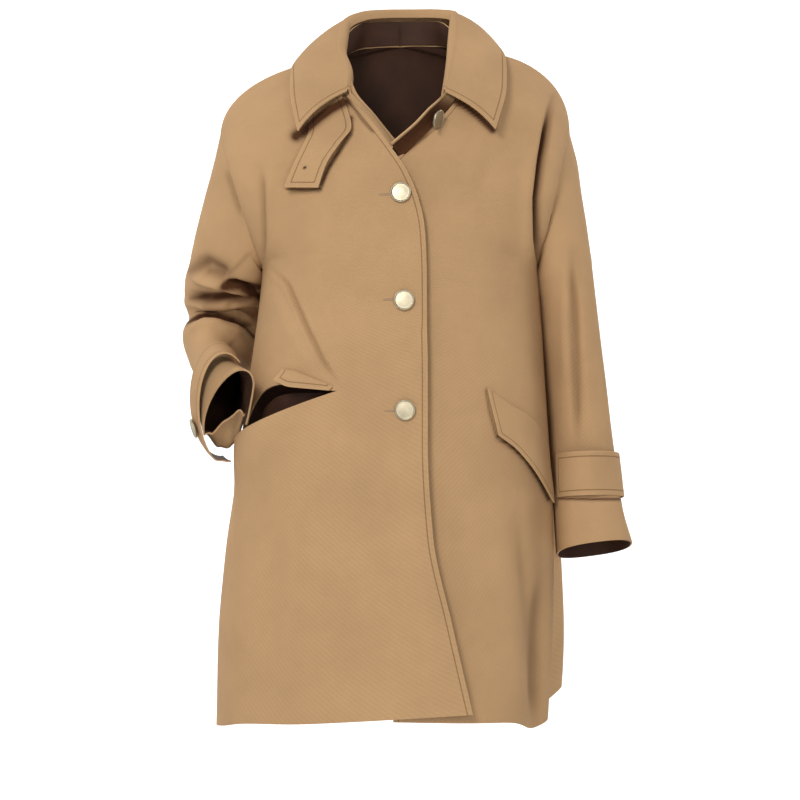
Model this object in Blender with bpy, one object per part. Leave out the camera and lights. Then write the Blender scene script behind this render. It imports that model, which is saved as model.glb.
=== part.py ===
"""Swing coat in the shape it takes when worn: hollow cloth shells with open neck, hem, cuffs and one gaping pocket.

Millimetres in the tables, metres in the scene. +Z is up, the front faces -Y, and +X is the wearer's left.
The origin is between the two side neck points, at shoulder height.
"""

import math

import bmesh
import bpy
from mathutils import Vector

MM = 0.001
WALL = 2.2
TRIM_WALL = 2.0
SEAM_GAP = 0.8
UNDERLAP_DROP = 10.0

# The armholes are flat ovals: centre, the half axis up to the shoulder point, and the half depth.
# centre x, y, z, up x, y, z, front x, y, z
ARMHOLE = {
    "right": (-198, 6, -177, -27, 8, 85, -1, -62, 0),
    "left": (193, 6, -177, 20, 6, 86, -4, -61, 0),
}
UNDERARM_ROW = 7

# One row a level, hem to shoulder. Rows to the underarm end on the side seam, rows above on the armhole.
# edge x, y, z, side x, y, z or armhole angle, squareness, straightness of the depth, straightness of the drop
RIGHT_FRONT = (
    (86, -186, -796, -229, 0, -830, 0.86, 0.0, 0.6),
    (62, -178, -692, -226, 0, -712, 0.86, 0.0, 0.6),
    (39, -168, -585, -217, 0, -612, 0.86, 0.0, 0.6),
    (33, -160, -478, -208, 0, -550, 0.86, 0.0, 0.5),
    (33, -154, -387, -200, 0, -494, 0.86, 0.0, 0.45),
    (32, -147, -325, -188, 0, -405, 0.87, 0.0, 0.4),
    (32, -141, -280, -178, 0, -325, 0.88, 0.0, 0.4),
    (31, -136, -240, 180, 0, 0, 0.90, 0.0, 0.4),
    (29, -132, -213, 150, 0, 0, 0.92, 0.05, 0.4),
    (22, -127, -182, 120, 0, 0, 0.94, 0.1, 0.4),
    (9, -121, -150, 90, 0, 0, 0.95, 0.2, 0.35),
    (-10, -116, -121, 60, 0, 0, 0.97, 0.3, 0.3),
    (-42, -103, -79, 36, 0, 0, 1.0, 0.4, 0.3),
    (-73, -70, -42, 18, 0, 0, 1.0, 0.5, 0.3),
    (-80, 8, 2, 0, 0, 0, 0.95, 0.6, 0.15),
)
LEFT_FRONT = (
    (-8, -186, -806, 172, 0, -812, 0.75, 0.0, 0.6),
    (-14, -177, -696, 180, 0, -706, 0.78, 0.0, 0.6),
    (-22, -166, -590, 185, 0, -606, 0.86, 0.0, 0.6),
    (-24, -158, -485, 186, 0, -530, 0.86, 0.0, 0.5),
    (-24, -152, -395, 184, 0, -462, 0.86, 0.0, 0.45),
    (-24, -146, -330, 180, 0, -390, 0.87, 0.0, 0.4),
    (-24, -141, -282, 176, 0, -322, 0.88, 0.0, 0.4),
    (-25, -136, -240, 180, 0, 0, 0.90, 0.0, 0.4),
    (-26, -132, -213, 150, 0, 0, 0.92, 0.05, 0.4),
    (-27, -127, -186, 120, 0, 0, 0.94, 0.1, 0.4),
    (-24, -121, -158, 90, 0, 0, 0.95, 0.2, 0.35),
    (2, -117, -126, 60, 0, 0, 0.97, 0.3, 0.3),
    (42, -106, -92, 36, 0, 0, 1.0, 0.4, 0.3),
    (76, -72, -42, 18, 0, 0, 0.96, 0.5, 0.1),
    (84, 8, 12, 0, 0, 0, 0.92, 0.6, 0.0),
)
# The same columns from the centre back outward, then round the back of the neck.
RIGHT_BACK = (
    (-6, 190, -818, -229, 0, -830, 0.84, 0.0, 0.5),
    (-4, 178, -705, -226, 0, -712, 0.84, 0.0, 0.5),
    (-2, 166, -605, -217, 0, -612, 0.84, 0.0, 0.5),
    (0, 155, -515, -208, 0, -550, 0.84, 0.0, 0.5),
    (0, 145, -440, -200, 0, -494, 0.84, 0.0, 0.5),
    (0, 136, -365, -188, 0, -405, 0.85, 0.0, 0.5),
    (0, 130, -305, -178, 0, -325, 0.86, 0.0, 0.5),
    (0, 126, -250, 180, 0, 0, 0.88, 0.0, 0.5),
    (0, 124, -205, 210, 0, 0, 0.90, 0.0, 0.5),
    (0, 120, -158, 240, 0, 0, 0.92, 0.05, 0.4),
    (0, 113, -105, 270, 0, 0, 0.94, 0.1, 0.3),
    (0, 99, -45, 300, 0, 0, 0.97, 0.2, 0.3),
    (0, 76, 28, 326, 0, 0, 1.0, 0.35, 0.3),
    (-46, 62, 24, 343, 0, 0, 1.0, 0.5, 0.3),
    (-80, 8, 2, 360, 0, 0, 0.95, 0.6, 0.15),
)
LEFT_BACK = (
    (-6, 190, -818, 174, 0, -812, 0.84, 0.0, 0.5),
    (-4, 178, -705, 180, 0, -706, 0.84, 0.0, 0.5),
    (-2, 166, -605, 185, 0, -606, 0.84, 0.0, 0.5),
    (0, 155, -515, 186, 0, -530, 0.84, 0.0, 0.5),
    (0, 145, -440, 184, 0, -462, 0.84, 0.0, 0.5),
    (0, 136, -365, 180, 0, -390, 0.85, 0.0, 0.5),
    (0, 130, -305, 176, 0, -322, 0.86, 0.0, 0.5),
    (0, 126, -250, 180, 0, 0, 0.88, 0.0, 0.5),
    (0, 124, -205, 210, 0, 0, 0.90, 0.0, 0.5),
    (0, 120, -158, 240, 0, 0, 0.92, 0.05, 0.4),
    (0, 113, -105, 270, 0, 0, 0.94, 0.1, 0.3),
    (0, 99, -45, 300, 0, 0, 0.97, 0.2, 0.3),
    (0, 76, 28, 326, 0, 0, 1.0, 0.35, 0.3),
    (48, 62, 27, 343, 0, 0, 0.96, 0.5, 0.1),
    (84, 8, 12, 360, 0, 0, 0.92, 0.6, 0.0),
)

# Folds that run up a panel: a ridge is positive, a trough negative.
# panel, place across at the hem, place across at the top, half width across, height at the hem, fades out at row
PANEL_FOLDS = (
    ("front_left", 0.86, 0.86, 0.10, 13, 5.0),
    ("back_left", 0.80, 0.84, 0.13, 44, 4.2),
    ("back_left", 0.42, 0.36, 0.16, 14, 7.0),
    ("back_right", 0.40, 0.34, 0.16, 15, 7.0),
    ("back_right", 0.74, 0.70, 0.14, 12, 6.0),
    ("front_right", 0.62, 0.60, 0.18, 7, 4.0),
)

# How far a ridge lifts the cloth for each millimetre it stands out.
HEM_LIFT = 0.5

# The gaping pocket: the row it follows, where it starts and ends across, how far the lips stand apart.
POCKET_ROW = 4
POCKET_START = 0.27
POCKET_END = 0.90
LIP_OUT = 20.0
LIP_DROP = 4.0
BROW_IN = 9.0
BROW_LIFT = 42.0
GAPE_LEAN = 1.4

# Sleeve rings from the armhole to the cuff.
# outer x, y, z, inner x, y, z, from the middle to the front x, y, z
LEFT_SLEEVE = (
    (222, 13, -126, 178, 1, -268, -10, -64, 0),
    (228, 13, -165, 179, 1, -274, -6, -67, 0),
    (234, 12, -205, 179, 1, -281, -3, -69, 0),
    (239, 10, -245, 179, 0, -290, -2, -69, 2),
    (243, 8, -285, 179, -2, -305, 0, -67, 4),
    (248, 4, -330, 180, -4, -338, 0, -65, 5),
    (256, -2, -400, 184, -8, -402, 0, -62, 6),
    (263, -7, -460, 188, -12, -463, 0, -59, 6),
    (270, -12, -515, 190, -16, -520, 0, -56, 6),
    (276, -17, -560, 191, -20, -568, 0, -54, 6),
    (288, -22, -602, 194, -25, -616, 0, -53, 6),
)
RIGHT_SLEEVE = (
    (-236, 22, -134, -180, 8, -267, 2, -63, -3),
    (-248, 34, -174, -181, 16, -271, 2, -64, -9),
    (-259, 50, -212, -180, 28, -275, 2, -64, -17),
    (-268, 70, -245, -178, 44, -281, 0, -62, -23),
    (-276, 88, -272, -174, 62, -290, 0, -62, -23),
    (-278, 100, -296, -170, 80, -300, 0, -64, -11),
    (-272, 103, -320, -169, 90, -315, 0, -61, 11),
    (-279, 94, -348, -172, 88, -336, -4, -53, 33),
    (-270, 72, -376, -184, 64, -352, -12, -42, 40),
    (-257, 44, -402, -200, 30, -372, -18, -34, 36),
    (-248, 8, -430, -204, -20, -376, -18, -26, 28),
    (-242, -24, -456, -200, -62, -382, -20, -14, 22),
    (-236, -56, -478, -182, -106, -390, -19, -2, 16),
)
SLEEVE_TURNS = 22

# The collar from the wearer's right front end round the back to the left.
# roll x, y, z, outer edge x, y, z, bow outward
COLLAR_FALL = (
    (-50, -96, -56, -124, -101, -100, 6),
    (-66, -64, -22, -134, -68, -50, 7),
    (-78, -26, 14, -136, -14, -14, 8),
    (-75, 26, 50, -118, 58, 9, 9),
    (-42, 62, 68, -68, 95, -6, 9),
    (0, 74, 71, 0, 103, -7, 9),
    (42, 64, 70, 68, 95, -6, 9),
    (74, 30, 62, 120, 58, 22, 9),
    (70, -24, 18, 132, -14, 0, 8),
    (63, -64, -20, 130, -68, -44, 7),
    (56, -98, -51, 116, -98, -97, 6),
)
# The stand starts on the neck seam and ends at this edge, from the right front round to the left front.
# top x, y, z
STAND_TOP = (
    (-4, -106, -112),
    (-27, -90, -82),
    (-52, -80, -47),
    (-72, -14, 20),
    (-47, 50, 60),
    (0, 68, 64),
    (47, 52, 62),
    (67, -14, 29),
    (54, -84, -43),
    (27, -126, -84),
    (-10, -125, -117),
)
SIDE_NECK_ROW = 14
STAND_END_ROW = 11
BACK_NECK_ROW = 12
STAND_RISE = 1.4

# The throat tab hangs from under the collar.
# inner edge x, z, outer edge x, z, how far each edge stands off the front
THROAT_TAB = (
    (-72, -54, -112, -56, 3.0, 3.0),
    (-62, -76, -110, -80, 3.5, 3.0),
    (-57, -97, -109, -100, 6.0, 3.0),
    (-70, -118, -116, -120, 8.0, 3.5),
    (-86, -142, -126, -144, 6.0, 6.0),
    (-96, -171, -135, -170, 4.0, 9.0),
)

# The left pocket flap: top seam and bottom edge, along the seam.
# top x, z, bottom x, z, how far the bottom stands off
FLAP_LEFT = (
    (104, -411, 115, -468, 7),
    (128, -428, 134, -484, 10),
    (152, -442, 152, -506, 11),
    (170, -460, 168, -528, 9),
    (181, -486, 184, -552, 7),
)
# The right flap is tucked into the mouth and only its fold shows.
# upper x, z, lower x, z, how far it stands off
FLAP_RIGHT = (
    (-80, -409, -84, -414, 4),
    (-104, -399, -108, -412, 6),
    (-128, -390, -130, -410, 9),
    (-142, -388, -146, -402, 10),
)

# Straps round the cuffs, as rings like a sleeve's, and the part of the turn they cover in degrees.
# outer x, y, z, inner x, y, z, from the middle to the front x, y, z
STRAP_LEFT = (
    (272, -9, -492, 188, -14, -494, 0, -61, 6),
    (275, -11, -518, 188, -16, -520, 0, -60, 6),
    (278, -13, -546, 189, -18, -548, 0, -59, 6),
)
STRAP_RIGHT = (
    (-240, 0, -490, -209, -38, -360, -32, -26, 30),
    (-234, -22, -496, -206, -60, -366, -32, -20, 30),
    (-227, -44, -501, -199, -86, -373, -31, -12, 28),
)
STRAP_LEFT_TURNS = (-60, 152)
STRAP_RIGHT_TURNS = (-30, 190)
STRAP_LEFT_GROW = 1.2
STRAP_RIGHT_GROW = 0.0
STRAP_LEFT_BUTTON_TURN = -35
STRAP_RIGHT_BUTTON_TURN = 42

# How far the flaps' seams stand off the fronts.
FLAP_LEFT_OFF = 3.0
FLAP_RIGHT_OFF = 2.4

# The bag behind the gaping pocket: how far down and how far in from the front, round its section.
POCKET_BAG = (
    (-2, 3.9),
    (35, 4.4),
    (75, 5.5),
    (104, 7.0),
    (112, 11.0),
    (104, 15.5),
    (75, 18.0),
    (35, 20.0),
    (0, 20.0),
    (-34, 16.0),
)
BAG_ROW_DROP = 85.0

BUTTON_RADIUS = 12.3
BUTTON_DEPTH = 4.2
BUTTON_GAP = 0.5
STRAP_BUTTON_GAP = 0.8
# The front buttons lie on the right front, at x, z.
FRONT_BUTTONS = (
    ("button_front_1", 1, -176),
    ("button_front_2", 5, -306),
    ("button_front_3", 6, -437),
)
# The collar's button, seen edge on: its back's centre, then the way it faces.
COLLAR_BUTTON = (44.4, -116.7, -87.1)
COLLAR_BUTTON_WAY = (0.86, -0.42, -0.3)
BUTTON_PROFILE = (
    (0.0, 0.82),
    (0.55, 0.80),
    (0.86, 0.78),
    (0.93, 1.0),
    (1.0, 0.80),
    (1.0, 0.25),
    (0.9, 0.0),
    (0.0, 0.0),
)
BUTTON_SIDES = 22

CAMEL = (0.46, 0.28, 0.145, 1.0)
DARK_LINING = (0.035, 0.016, 0.009, 1.0)
PALE_GOLD = (0.78, 0.68, 0.46, 1.0)


def clear_scene():
    for thing in list(bpy.data.objects):
        bpy.data.objects.remove(thing, do_unlink=True)


def spline(rows, place):
    """The rows of numbers joined by a smooth curve, read at a place counted in rows."""
    last = len(rows) - 1
    place = min(max(place, 0.0), float(last))
    i = min(int(place), last - 1)
    t = place - i
    before = rows[max(i - 1, 0)]
    here = rows[i]
    after = rows[i + 1]
    beyond = rows[min(i + 2, last)]
    found = []
    for p, q, r, s in zip(before, here, after, beyond):
        start = slope(q - p, r - q) if i > 0 else r - q
        end = slope(r - q, s - r) if i + 2 <= last else r - q
        found.append(
            (2 * t**3 - 3 * t**2 + 1) * q
            + (t**3 - 2 * t**2 + t) * start
            + (3 * t**2 - 2 * t**3) * r
            + (t**3 - t**2) * end
        )
    return found


def slope(left, right):
    """The slope between two steps that never overshoots either."""
    if left * right <= 0:
        return 0.0
    return 2 * left * right / (left + right)


def smooth(t):
    t = min(max(t, 0.0), 1.0)
    return t * t * (3 - 2 * t)


def armhole_point(side, degrees):
    return ring_point(armhole_ring(side), degrees)


def side_point(rows, side, v):
    """The end of a panel's row: on the side seam below the underarm, on the armhole above it."""
    if v >= UNDERARM_ROW:
        angle = spline([(r[3],) for r in rows[UNDERARM_ROW:]], v - UNDERARM_ROW)[0]
        return armhole_point(side, angle)
    seam = [r[3:6] for r in rows[:UNDERARM_ROW]] + [tuple(armhole_point(side, 180))]
    return Vector(spline(seam, v))


def fold_height(panel, u, v):
    height = 0.0
    for name, low, high, width, size, top in PANEL_FOLDS:
        if name != panel or v >= top:
            continue
        share = v / top
        centre = low + (high - low) * share
        away = (u - centre) / width
        height += size * (1 - smooth(share)) * math.exp(-away * away * 1.6)
    return height


def panel_point(panel, u, v):
    rows, side = PANELS[panel]
    ex, ey, ez, _, _, _, square, flat_y, flat_z = spline(rows, v)
    end = side_point(rows, side, v)
    turn = math.pi / 2 * u
    across = math.sin(turn) ** square
    bend = 1 - max(math.cos(turn), 0.0) ** square
    x = ex + (end.x - ex) * across
    y = ey + (end.y - ey) * (flat_y * across + (1 - flat_y) * bend)
    z = ez + (end.z - ez) * (flat_z * across + (1 - flat_z) * bend)
    point = Vector((x, y, z))
    lift = fold_height(panel, u, v)
    if lift:
        point += Vector((x, y, 0)).normalized() * lift
        point.z += HEM_LIFT * lift
    return point


def pocket_gape(u):
    share = (u - POCKET_START) / (POCKET_END - POCKET_START)
    if share <= 0 or share >= 1:
        return 0.0
    return math.sin(math.pi * share**GAPE_LEAN) ** 0.8


def right_front_point(u, v, above=False):
    """The right front, pushed apart at the pocket mouth."""
    point = panel_point("front_right", u, v)
    out = Vector((point.x, point.y * 1.3, 0)).normalized()
    gape = pocket_gape(u)
    if v < POCKET_ROW or (v == POCKET_ROW and not above):
        near = math.exp(-(((v - POCKET_ROW) / 0.9) ** 2))
        point += out * LIP_OUT * gape * near
        point.z -= LIP_DROP * gape * near
    else:
        near = math.exp(-(((v - POCKET_ROW) / 0.9) ** 2))
        point -= out * BROW_IN * gape * near
        point.z += BROW_LIFT * gape * near
    return point


PANELS = {
    "front_right": (RIGHT_FRONT, "right"),
    "front_left": (LEFT_FRONT, "left"),
    "back_right": (RIGHT_BACK, "right"),
    "back_left": (LEFT_BACK, "left"),
}


def row_places(steps):
    """Places along the rows, with a number of steps in each."""
    places = []
    for i, count in enumerate(steps):
        for k in range(count):
            places.append(i + k / count)
    places.append(float(len(steps)))
    return places


class Sheet:
    """A cloth sheet built point by point, then given its wall."""

    def __init__(self):
        self.points = []
        self.faces = []
        self.keep = {}

    def add(self, point, along=None):
        """Adds a point. The wall at a seam point is set square to the way the seam's gap runs."""
        self.points.append(point.copy())
        if along is not None:
            self.keep[len(self.points) - 1] = along.normalized()
        return len(self.points) - 1

    def grid(self, numbers, closed=False):
        rows = len(numbers)
        for j in range(rows - 1):
            count = len(numbers[j])
            for i in range(count if closed else count - 1):
                k = (i + 1) % count
                self.faces.append(
                    (numbers[j][i], numbers[j][k], numbers[j + 1][k], numbers[j + 1][i])
                )

    def solid(self, name, wall, material):
        """The sheet as the outer face of a closed shell."""
        normals = [Vector() for _ in self.points]
        for face in self.faces:
            corner = [self.points[i] for i in face]
            normal = (corner[2] - corner[0]).cross(corner[3] - corner[1])
            if normal.length > 0:
                for i in face:
                    normals[i] += normal.normalized()
        for i, normal in enumerate(normals):
            if i in self.keep:
                normal -= self.keep[i] * normal.dot(self.keep[i])
            normals[i] = normal.normalized()
        edges = {}
        for face in self.faces:
            for k in range(4):
                a = face[k]
                b = face[(k + 1) % 4]
                edges[(a, b)] = True
        bm = bmesh.new()
        outer = [bm.verts.new(p * MM) for p in self.points]
        inner = [bm.verts.new((p - n * wall) * MM) for p, n in zip(self.points, normals)]
        for face in self.faces:
            bm.faces.new([outer[i] for i in face])
            bm.faces.new([inner[i] for i in reversed(face)])
        for a, b in edges:
            if (b, a) not in edges:
                bm.faces.new((outer[b], outer[a], inner[a], inner[b]))
        return finish(bm, name, material)


def finish(bm, name, material):
    bmesh.ops.recalc_face_normals(bm, faces=bm.faces)
    mesh = bpy.data.meshes.new(name)
    bm.to_mesh(mesh)
    bm.free()
    mesh.materials.append(material)
    for face in mesh.polygons:
        face.use_smooth = True
    thing = bpy.data.objects.new(name, mesh)
    bpy.context.scene.collection.objects.link(thing)
    return thing


def new_material(name, colour, roughness, metallic=0.0):
    material = bpy.data.materials.new(name)
    material.use_nodes = True
    shader = material.node_tree.nodes["Principled BSDF"]
    shader.inputs["Base Color"].default_value = colour
    shader.inputs["Roughness"].default_value = roughness
    shader.inputs["Metallic"].default_value = metallic
    material.diffuse_color = colour
    return material


def across_places(count):
    return [i / count for i in range(count + 1)]


FRONT_STEPS = (2, 2, 2, 3, 3, 2, 2, 2, 2, 2, 2, 3, 3, 3)
BACK_STEPS = (2, 2, 2, 1, 1, 1, 1, 2, 2, 2, 2, 2, 3, 3)
ACROSS = 16


def seam_way(side, v, u):
    """The way a gap runs at the side seam, the armhole and the shoulder seam."""
    if v >= 14:
        return Vector((0, 1, 0))
    if u >= 1:
        if v <= UNDERARM_ROW:
            return Vector((0, 1, 0))
        return armhole_axis(side)
    return None


def armhole_axis(side):
    """Square to the armhole, pointing away from the body."""
    up = Vector(ARMHOLE[side][3:6])
    axis = up.cross(Vector(ARMHOLE[side][6:9]))
    if axis.x * ARMHOLE[side][0] < 0:
        axis = -axis
    return axis.normalized()


def front_panel(name, panel, material):
    side = PANELS[panel][1]
    sheet = Sheet()
    places = row_places(FRONT_STEPS)
    numbers = []
    for v in places:
        row = []
        for u in across_places(ACROSS):
            if panel == "front_right":
                point = right_front_point(u, v)
            else:
                point = panel_point(panel, u, v)
                point += under_way(u, v)
            point.y -= seam_shift(u, v)
            row.append(sheet.add(point, seam_way(side, v, u)))
        numbers.append(row)
    if panel != "front_right":
        sheet.grid(numbers)
    else:
        split = places.index(float(POCKET_ROW))
        numbers = [list(reversed(row)) for row in numbers]
        sheet.grid(numbers[: split + 1])
        brow = []
        for i, u in enumerate(reversed(across_places(ACROSS))):
            if pocket_gape(u) > 0:
                brow.append(sheet.add(right_front_point(u, float(POCKET_ROW), True)))
            else:
                brow.append(numbers[split][i])
        sheet.grid([brow] + numbers[split + 1 :])
    return sheet.solid(name, WALL, material)


def seam_shift(u, v):
    """Half the seam's gap, for the points on the side and shoulder seams."""
    if v >= 14 or (u >= 1 and v < UNDERARM_ROW):
        return SEAM_GAP / 2
    return 0.0


def under_way(u, v):
    """The left front lies under the right one near its edge."""
    return Vector((0, UNDERLAP_DROP * (1 - smooth(u / 0.45)) * (1 - smooth(v - 11)), 0))


def back_panel(name, material):
    sheet = Sheet()
    places = row_places(BACK_STEPS)
    middle = {}
    for panel in ("back_right", "back_left"):
        side = PANELS[panel][1]
        numbers = []
        for v in places:
            row = []
            for i, u in enumerate(across_places(ACROSS)):
                if i == 0 and v <= 12 and v in middle:
                    row.append(middle[v])
                    continue
                point = panel_point(panel, u, v)
                point.y += seam_shift(u, v)
                number = sheet.add(point, seam_way(side, v, u))
                if i == 0 and v <= 12:
                    middle[v] = number
                row.append(number)
            numbers.append(row)
        if panel == "back_right":
            numbers = [list(reversed(row)) for row in numbers]
        sheet.grid([list(reversed(row)) for row in numbers])
    return sheet.solid(name, WALL, material)


def ring_point(ring, degrees, grow=0.0):
    """A point of an oval ring: 0 is the outer side, 90 the front, 180 the inner side."""
    outer = Vector(ring[0:3])
    inner = Vector(ring[3:6])
    front = Vector(ring[6:9])
    half = (outer - inner) / 2
    turn = math.radians(degrees)
    half = half.normalized() * (half.length + grow)
    front = front.normalized() * (front.length + grow)
    return (outer + inner) / 2 + half * math.cos(turn) + front * math.sin(turn)


def armhole_ring(side):
    centre = Vector(ARMHOLE[side][0:3])
    up = Vector(ARMHOLE[side][3:6])
    return (*(centre + up), *(centre - up), *ARMHOLE[side][6:9])


def sleeve(name, side, rings, material):
    rings = (armhole_ring(side),) + rings
    axis = armhole_axis(side)
    sheet = Sheet()
    numbers = []
    places = row_places([2] * (len(rings) - 1))
    for place in places:
        ring = spline(rings, place)
        row = []
        for i in range(SLEEVE_TURNS):
            point = ring_point(ring, 360 * i / SLEEVE_TURNS)
            if place == 0:
                point += axis * SEAM_GAP * 0.8
            row.append(sheet.add(point, axis if place == 0 else None))
        numbers.append(row if side == "left" else list(reversed(row)))
    sheet.grid(numbers, closed=True)
    return sheet.solid(name, WALL, material)


def strap(name, side, rings, first, last, material, grow):
    """A band round the cuff, open where its two ends lap."""
    sheet = Sheet()
    numbers = []
    count = 26
    for place in row_places([1] * (len(rings) - 1)):
        ring = spline(rings, place)
        row = []
        for i in range(count + 1):
            point = ring_point(ring, first + (last - first) * i / count, grow)
            row.append(sheet.add(point))
        numbers.append(row if side == "left" else list(reversed(row)))
    sheet.grid(numbers)
    return sheet.solid(name, TRIM_WALL, material)


def collar_fall_point(s, t):
    rx, ry, rz, fx, fy, fz, bow = spline(COLLAR_FALL, s)
    roll = Vector((rx, ry, rz))
    edge = Vector((fx, fy, fz))
    point = roll.lerp(edge, t)
    out = Vector((point.x, point.y, 60)).normalized()
    return point + out * bow * math.sin(math.pi * t) ** 0.8


def collar_fall(material):
    sheet = Sheet()
    numbers = []
    for i in range(31):
        s = 10 * i / 30
        numbers.append([sheet.add(collar_fall_point(s, t / 5)) for t in range(6)])
    sheet.grid([list(reversed(row)) for row in numbers])
    return sheet.solid("collar_fall", WALL, material)


def neck_point(k):
    """A point of the neck seam and the way the cloth runs from it: 0 at the right front end, 10 at the left."""
    reach = SIDE_NECK_ROW - STAND_END_ROW
    middle = reach + SIDE_NECK_ROW - BACK_NECK_ROW
    if k <= reach:
        panel = "front_right"
        v = STAND_END_ROW + k
    elif k <= middle:
        panel = "back_right"
        v = SIDE_NECK_ROW - (k - reach)
    elif k <= 2 * middle - reach:
        panel = "back_left"
        v = BACK_NECK_ROW + (k - middle)
    else:
        panel = "front_left"
        v = SIDE_NECK_ROW - (k - 2 * middle + reach)
    here = panel_point(panel, 0.0, v)
    run = panel_point(panel, 0.03, v) - here
    if panel == "front_left":
        here += under_way(0.0, v)
    return here, run.normalized()


def collar_stand(material):
    sheet = Sheet()
    numbers = []
    last = len(STAND_TOP) - 1
    count = 3 * last
    for i in range(count + 1):
        k = i / 3
        seam, run = neck_point(k)
        top = Vector(spline(STAND_TOP, k))
        seam -= run * STAND_RISE
        row = [sheet.add(seam, run)]
        for t in (0.5, 1.0):
            row.append(sheet.add(seam.lerp(top, t)))
        numbers.append(row)
    sheet.grid(numbers)
    return sheet.solid("collar_stand", TRIM_WALL, material)


def on_panel(panel, x, z, off):
    """The point of a panel's surface at this x and z, moved off it."""
    here, normal = panel_spot(panel, x, z)
    return here + normal * off


def panel_spot(panel, x, z):
    """The point of a panel's surface at this x and z, and the surface's outward normal there."""
    u = 0.5
    v = 5.0
    for _ in range(40):
        here = panel_point(panel, u, v)
        du = panel_point(panel, u + 1e-3, v) - here
        dv = panel_point(panel, u, v + 1e-3) - here
        a, b, c, d = du.x, dv.x, du.z, dv.z
        span = a * d - b * c
        miss_x = x - here.x
        miss_z = z - here.z
        step_u = (miss_x * d - miss_z * b) / span * 1e-3
        step_v = (miss_z * a - miss_x * c) / span * 1e-3
        u = min(max(u + min(max(step_u, -0.1), 0.1), 0.0), 0.998)
        v = min(max(v + min(max(step_v, -0.5), 0.5), 0.0), 13.9)
    return panel_point(panel, u, v), front_normal(panel, u, v)


def laid_flap(name, panel, rows, base, material, flip):
    """A flap laid on a panel: its top edge follows the seam, its bottom edge stands off."""
    sheet = Sheet()
    numbers = []
    for i in range(4 * (len(rows) - 1) + 1):
        tx, tz, bx, bz, stand = spline(rows, i / 4)
        row = []
        for k in range(5):
            t = k / 4
            off = base + (stand - base) * smooth(t)
            row.append(sheet.add(on_panel(panel, tx + (bx - tx) * t, tz + (bz - tz) * t, off)))
        numbers.append(list(reversed(row)) if flip else row)
    sheet.grid(numbers)
    return sheet.solid(name, TRIM_WALL, material)


def throat_tab(material):
    sheet = Sheet()
    numbers = []
    for i in range(3 * (len(THROAT_TAB) - 1) + 1):
        ix, iz, ox, oz, near, far = spline(THROAT_TAB, i / 3)
        row = []
        for k in range(5):
            t = k / 4
            off = near + (far - near) * t
            row.append(sheet.add(on_panel("front_right", ix + (ox - ix) * t, iz + (oz - iz) * t, off)))
        numbers.append(row)
    sheet.grid(numbers)
    return sheet.solid("throat_tab", TRIM_WALL, material)


def front_normal(panel, u, v):
    here = panel_point(panel, u, v)
    across = panel_point(panel, u + 1e-3, v) - here
    along = panel_point(panel, u, v + 1e-3) - here
    normal = across.cross(along).normalized()
    if normal.dot(Vector((here.x, here.y * 2, 0))) < 0:
        normal = -normal
    return normal


def pocket_bag(material):
    """Two layers hanging behind the pocket mouth, joined along the bottom."""
    sheet = Sheet()
    numbers = []
    count = 14
    for i in range(count + 1):
        u = POCKET_START + 0.02 + (POCKET_END - POCKET_START - 0.05) * i / count
        row = []
        for k, (drop, depth) in enumerate(POCKET_BAG):
            v = POCKET_ROW - drop / BAG_ROW_DROP
            if drop < 0:
                v = POCKET_ROW - drop / BAG_ROW_DROP * pocket_gape(u)
            if k < 4:
                base = right_front_point(u, min(v, POCKET_ROW))
            else:
                base = panel_point("front_right", u, v)
            row.append(sheet.add(base - front_normal("front_right", u, v) * depth))
        numbers.append(list(reversed(row)))
    sheet.grid(numbers)
    return sheet.solid("pocket_bag_right", TRIM_WALL, material)


def strap_button(name, rings, turn, grow, material):
    """A button set on the outer face of a strap."""
    ring = rings[1]
    here = ring_point(ring, turn, grow)
    run = Vector(rings[2][0:3]) - Vector(rings[0][0:3])
    way = (ring_point(ring, turn + 2, grow) - ring_point(ring, turn - 2, grow)).cross(run).normalized()
    centre = (Vector(ring[0:3]) + Vector(ring[3:6])) / 2
    if way.dot(here - centre) < 0:
        way = -way
    return button(name, here + way * STRAP_BUTTON_GAP, way, material)


def button(name, centre, way, material):
    """A disc with a raised rim, its back at the centre given."""
    way = Vector(way).normalized()
    side = way.cross(Vector((0, 0, 1))).normalized()
    up = side.cross(way)
    bm = bmesh.new()
    rings = []
    for radius, depth in BUTTON_PROFILE:
        base = Vector(centre) + way * BUTTON_DEPTH * depth
        if radius == 0:
            rings.append([bm.verts.new(base * MM)])
            continue
        ring = []
        for i in range(BUTTON_SIDES):
            turn = 2 * math.pi * i / BUTTON_SIDES
            spot = base + (side * math.cos(turn) + up * math.sin(turn)) * radius * BUTTON_RADIUS
            ring.append(bm.verts.new(spot * MM))
        rings.append(ring)
    for a, b in zip(rings, rings[1:]):
        for i in range(BUTTON_SIDES):
            k = (i + 1) % BUTTON_SIDES
            if len(a) == 1:
                bm.faces.new((a[0], b[i], b[k]))
            elif len(b) == 1:
                bm.faces.new((a[i], b[0], a[k]))
            else:
                bm.faces.new((a[i], b[i], b[k], a[k]))
    return finish(bm, name, material)


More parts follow.
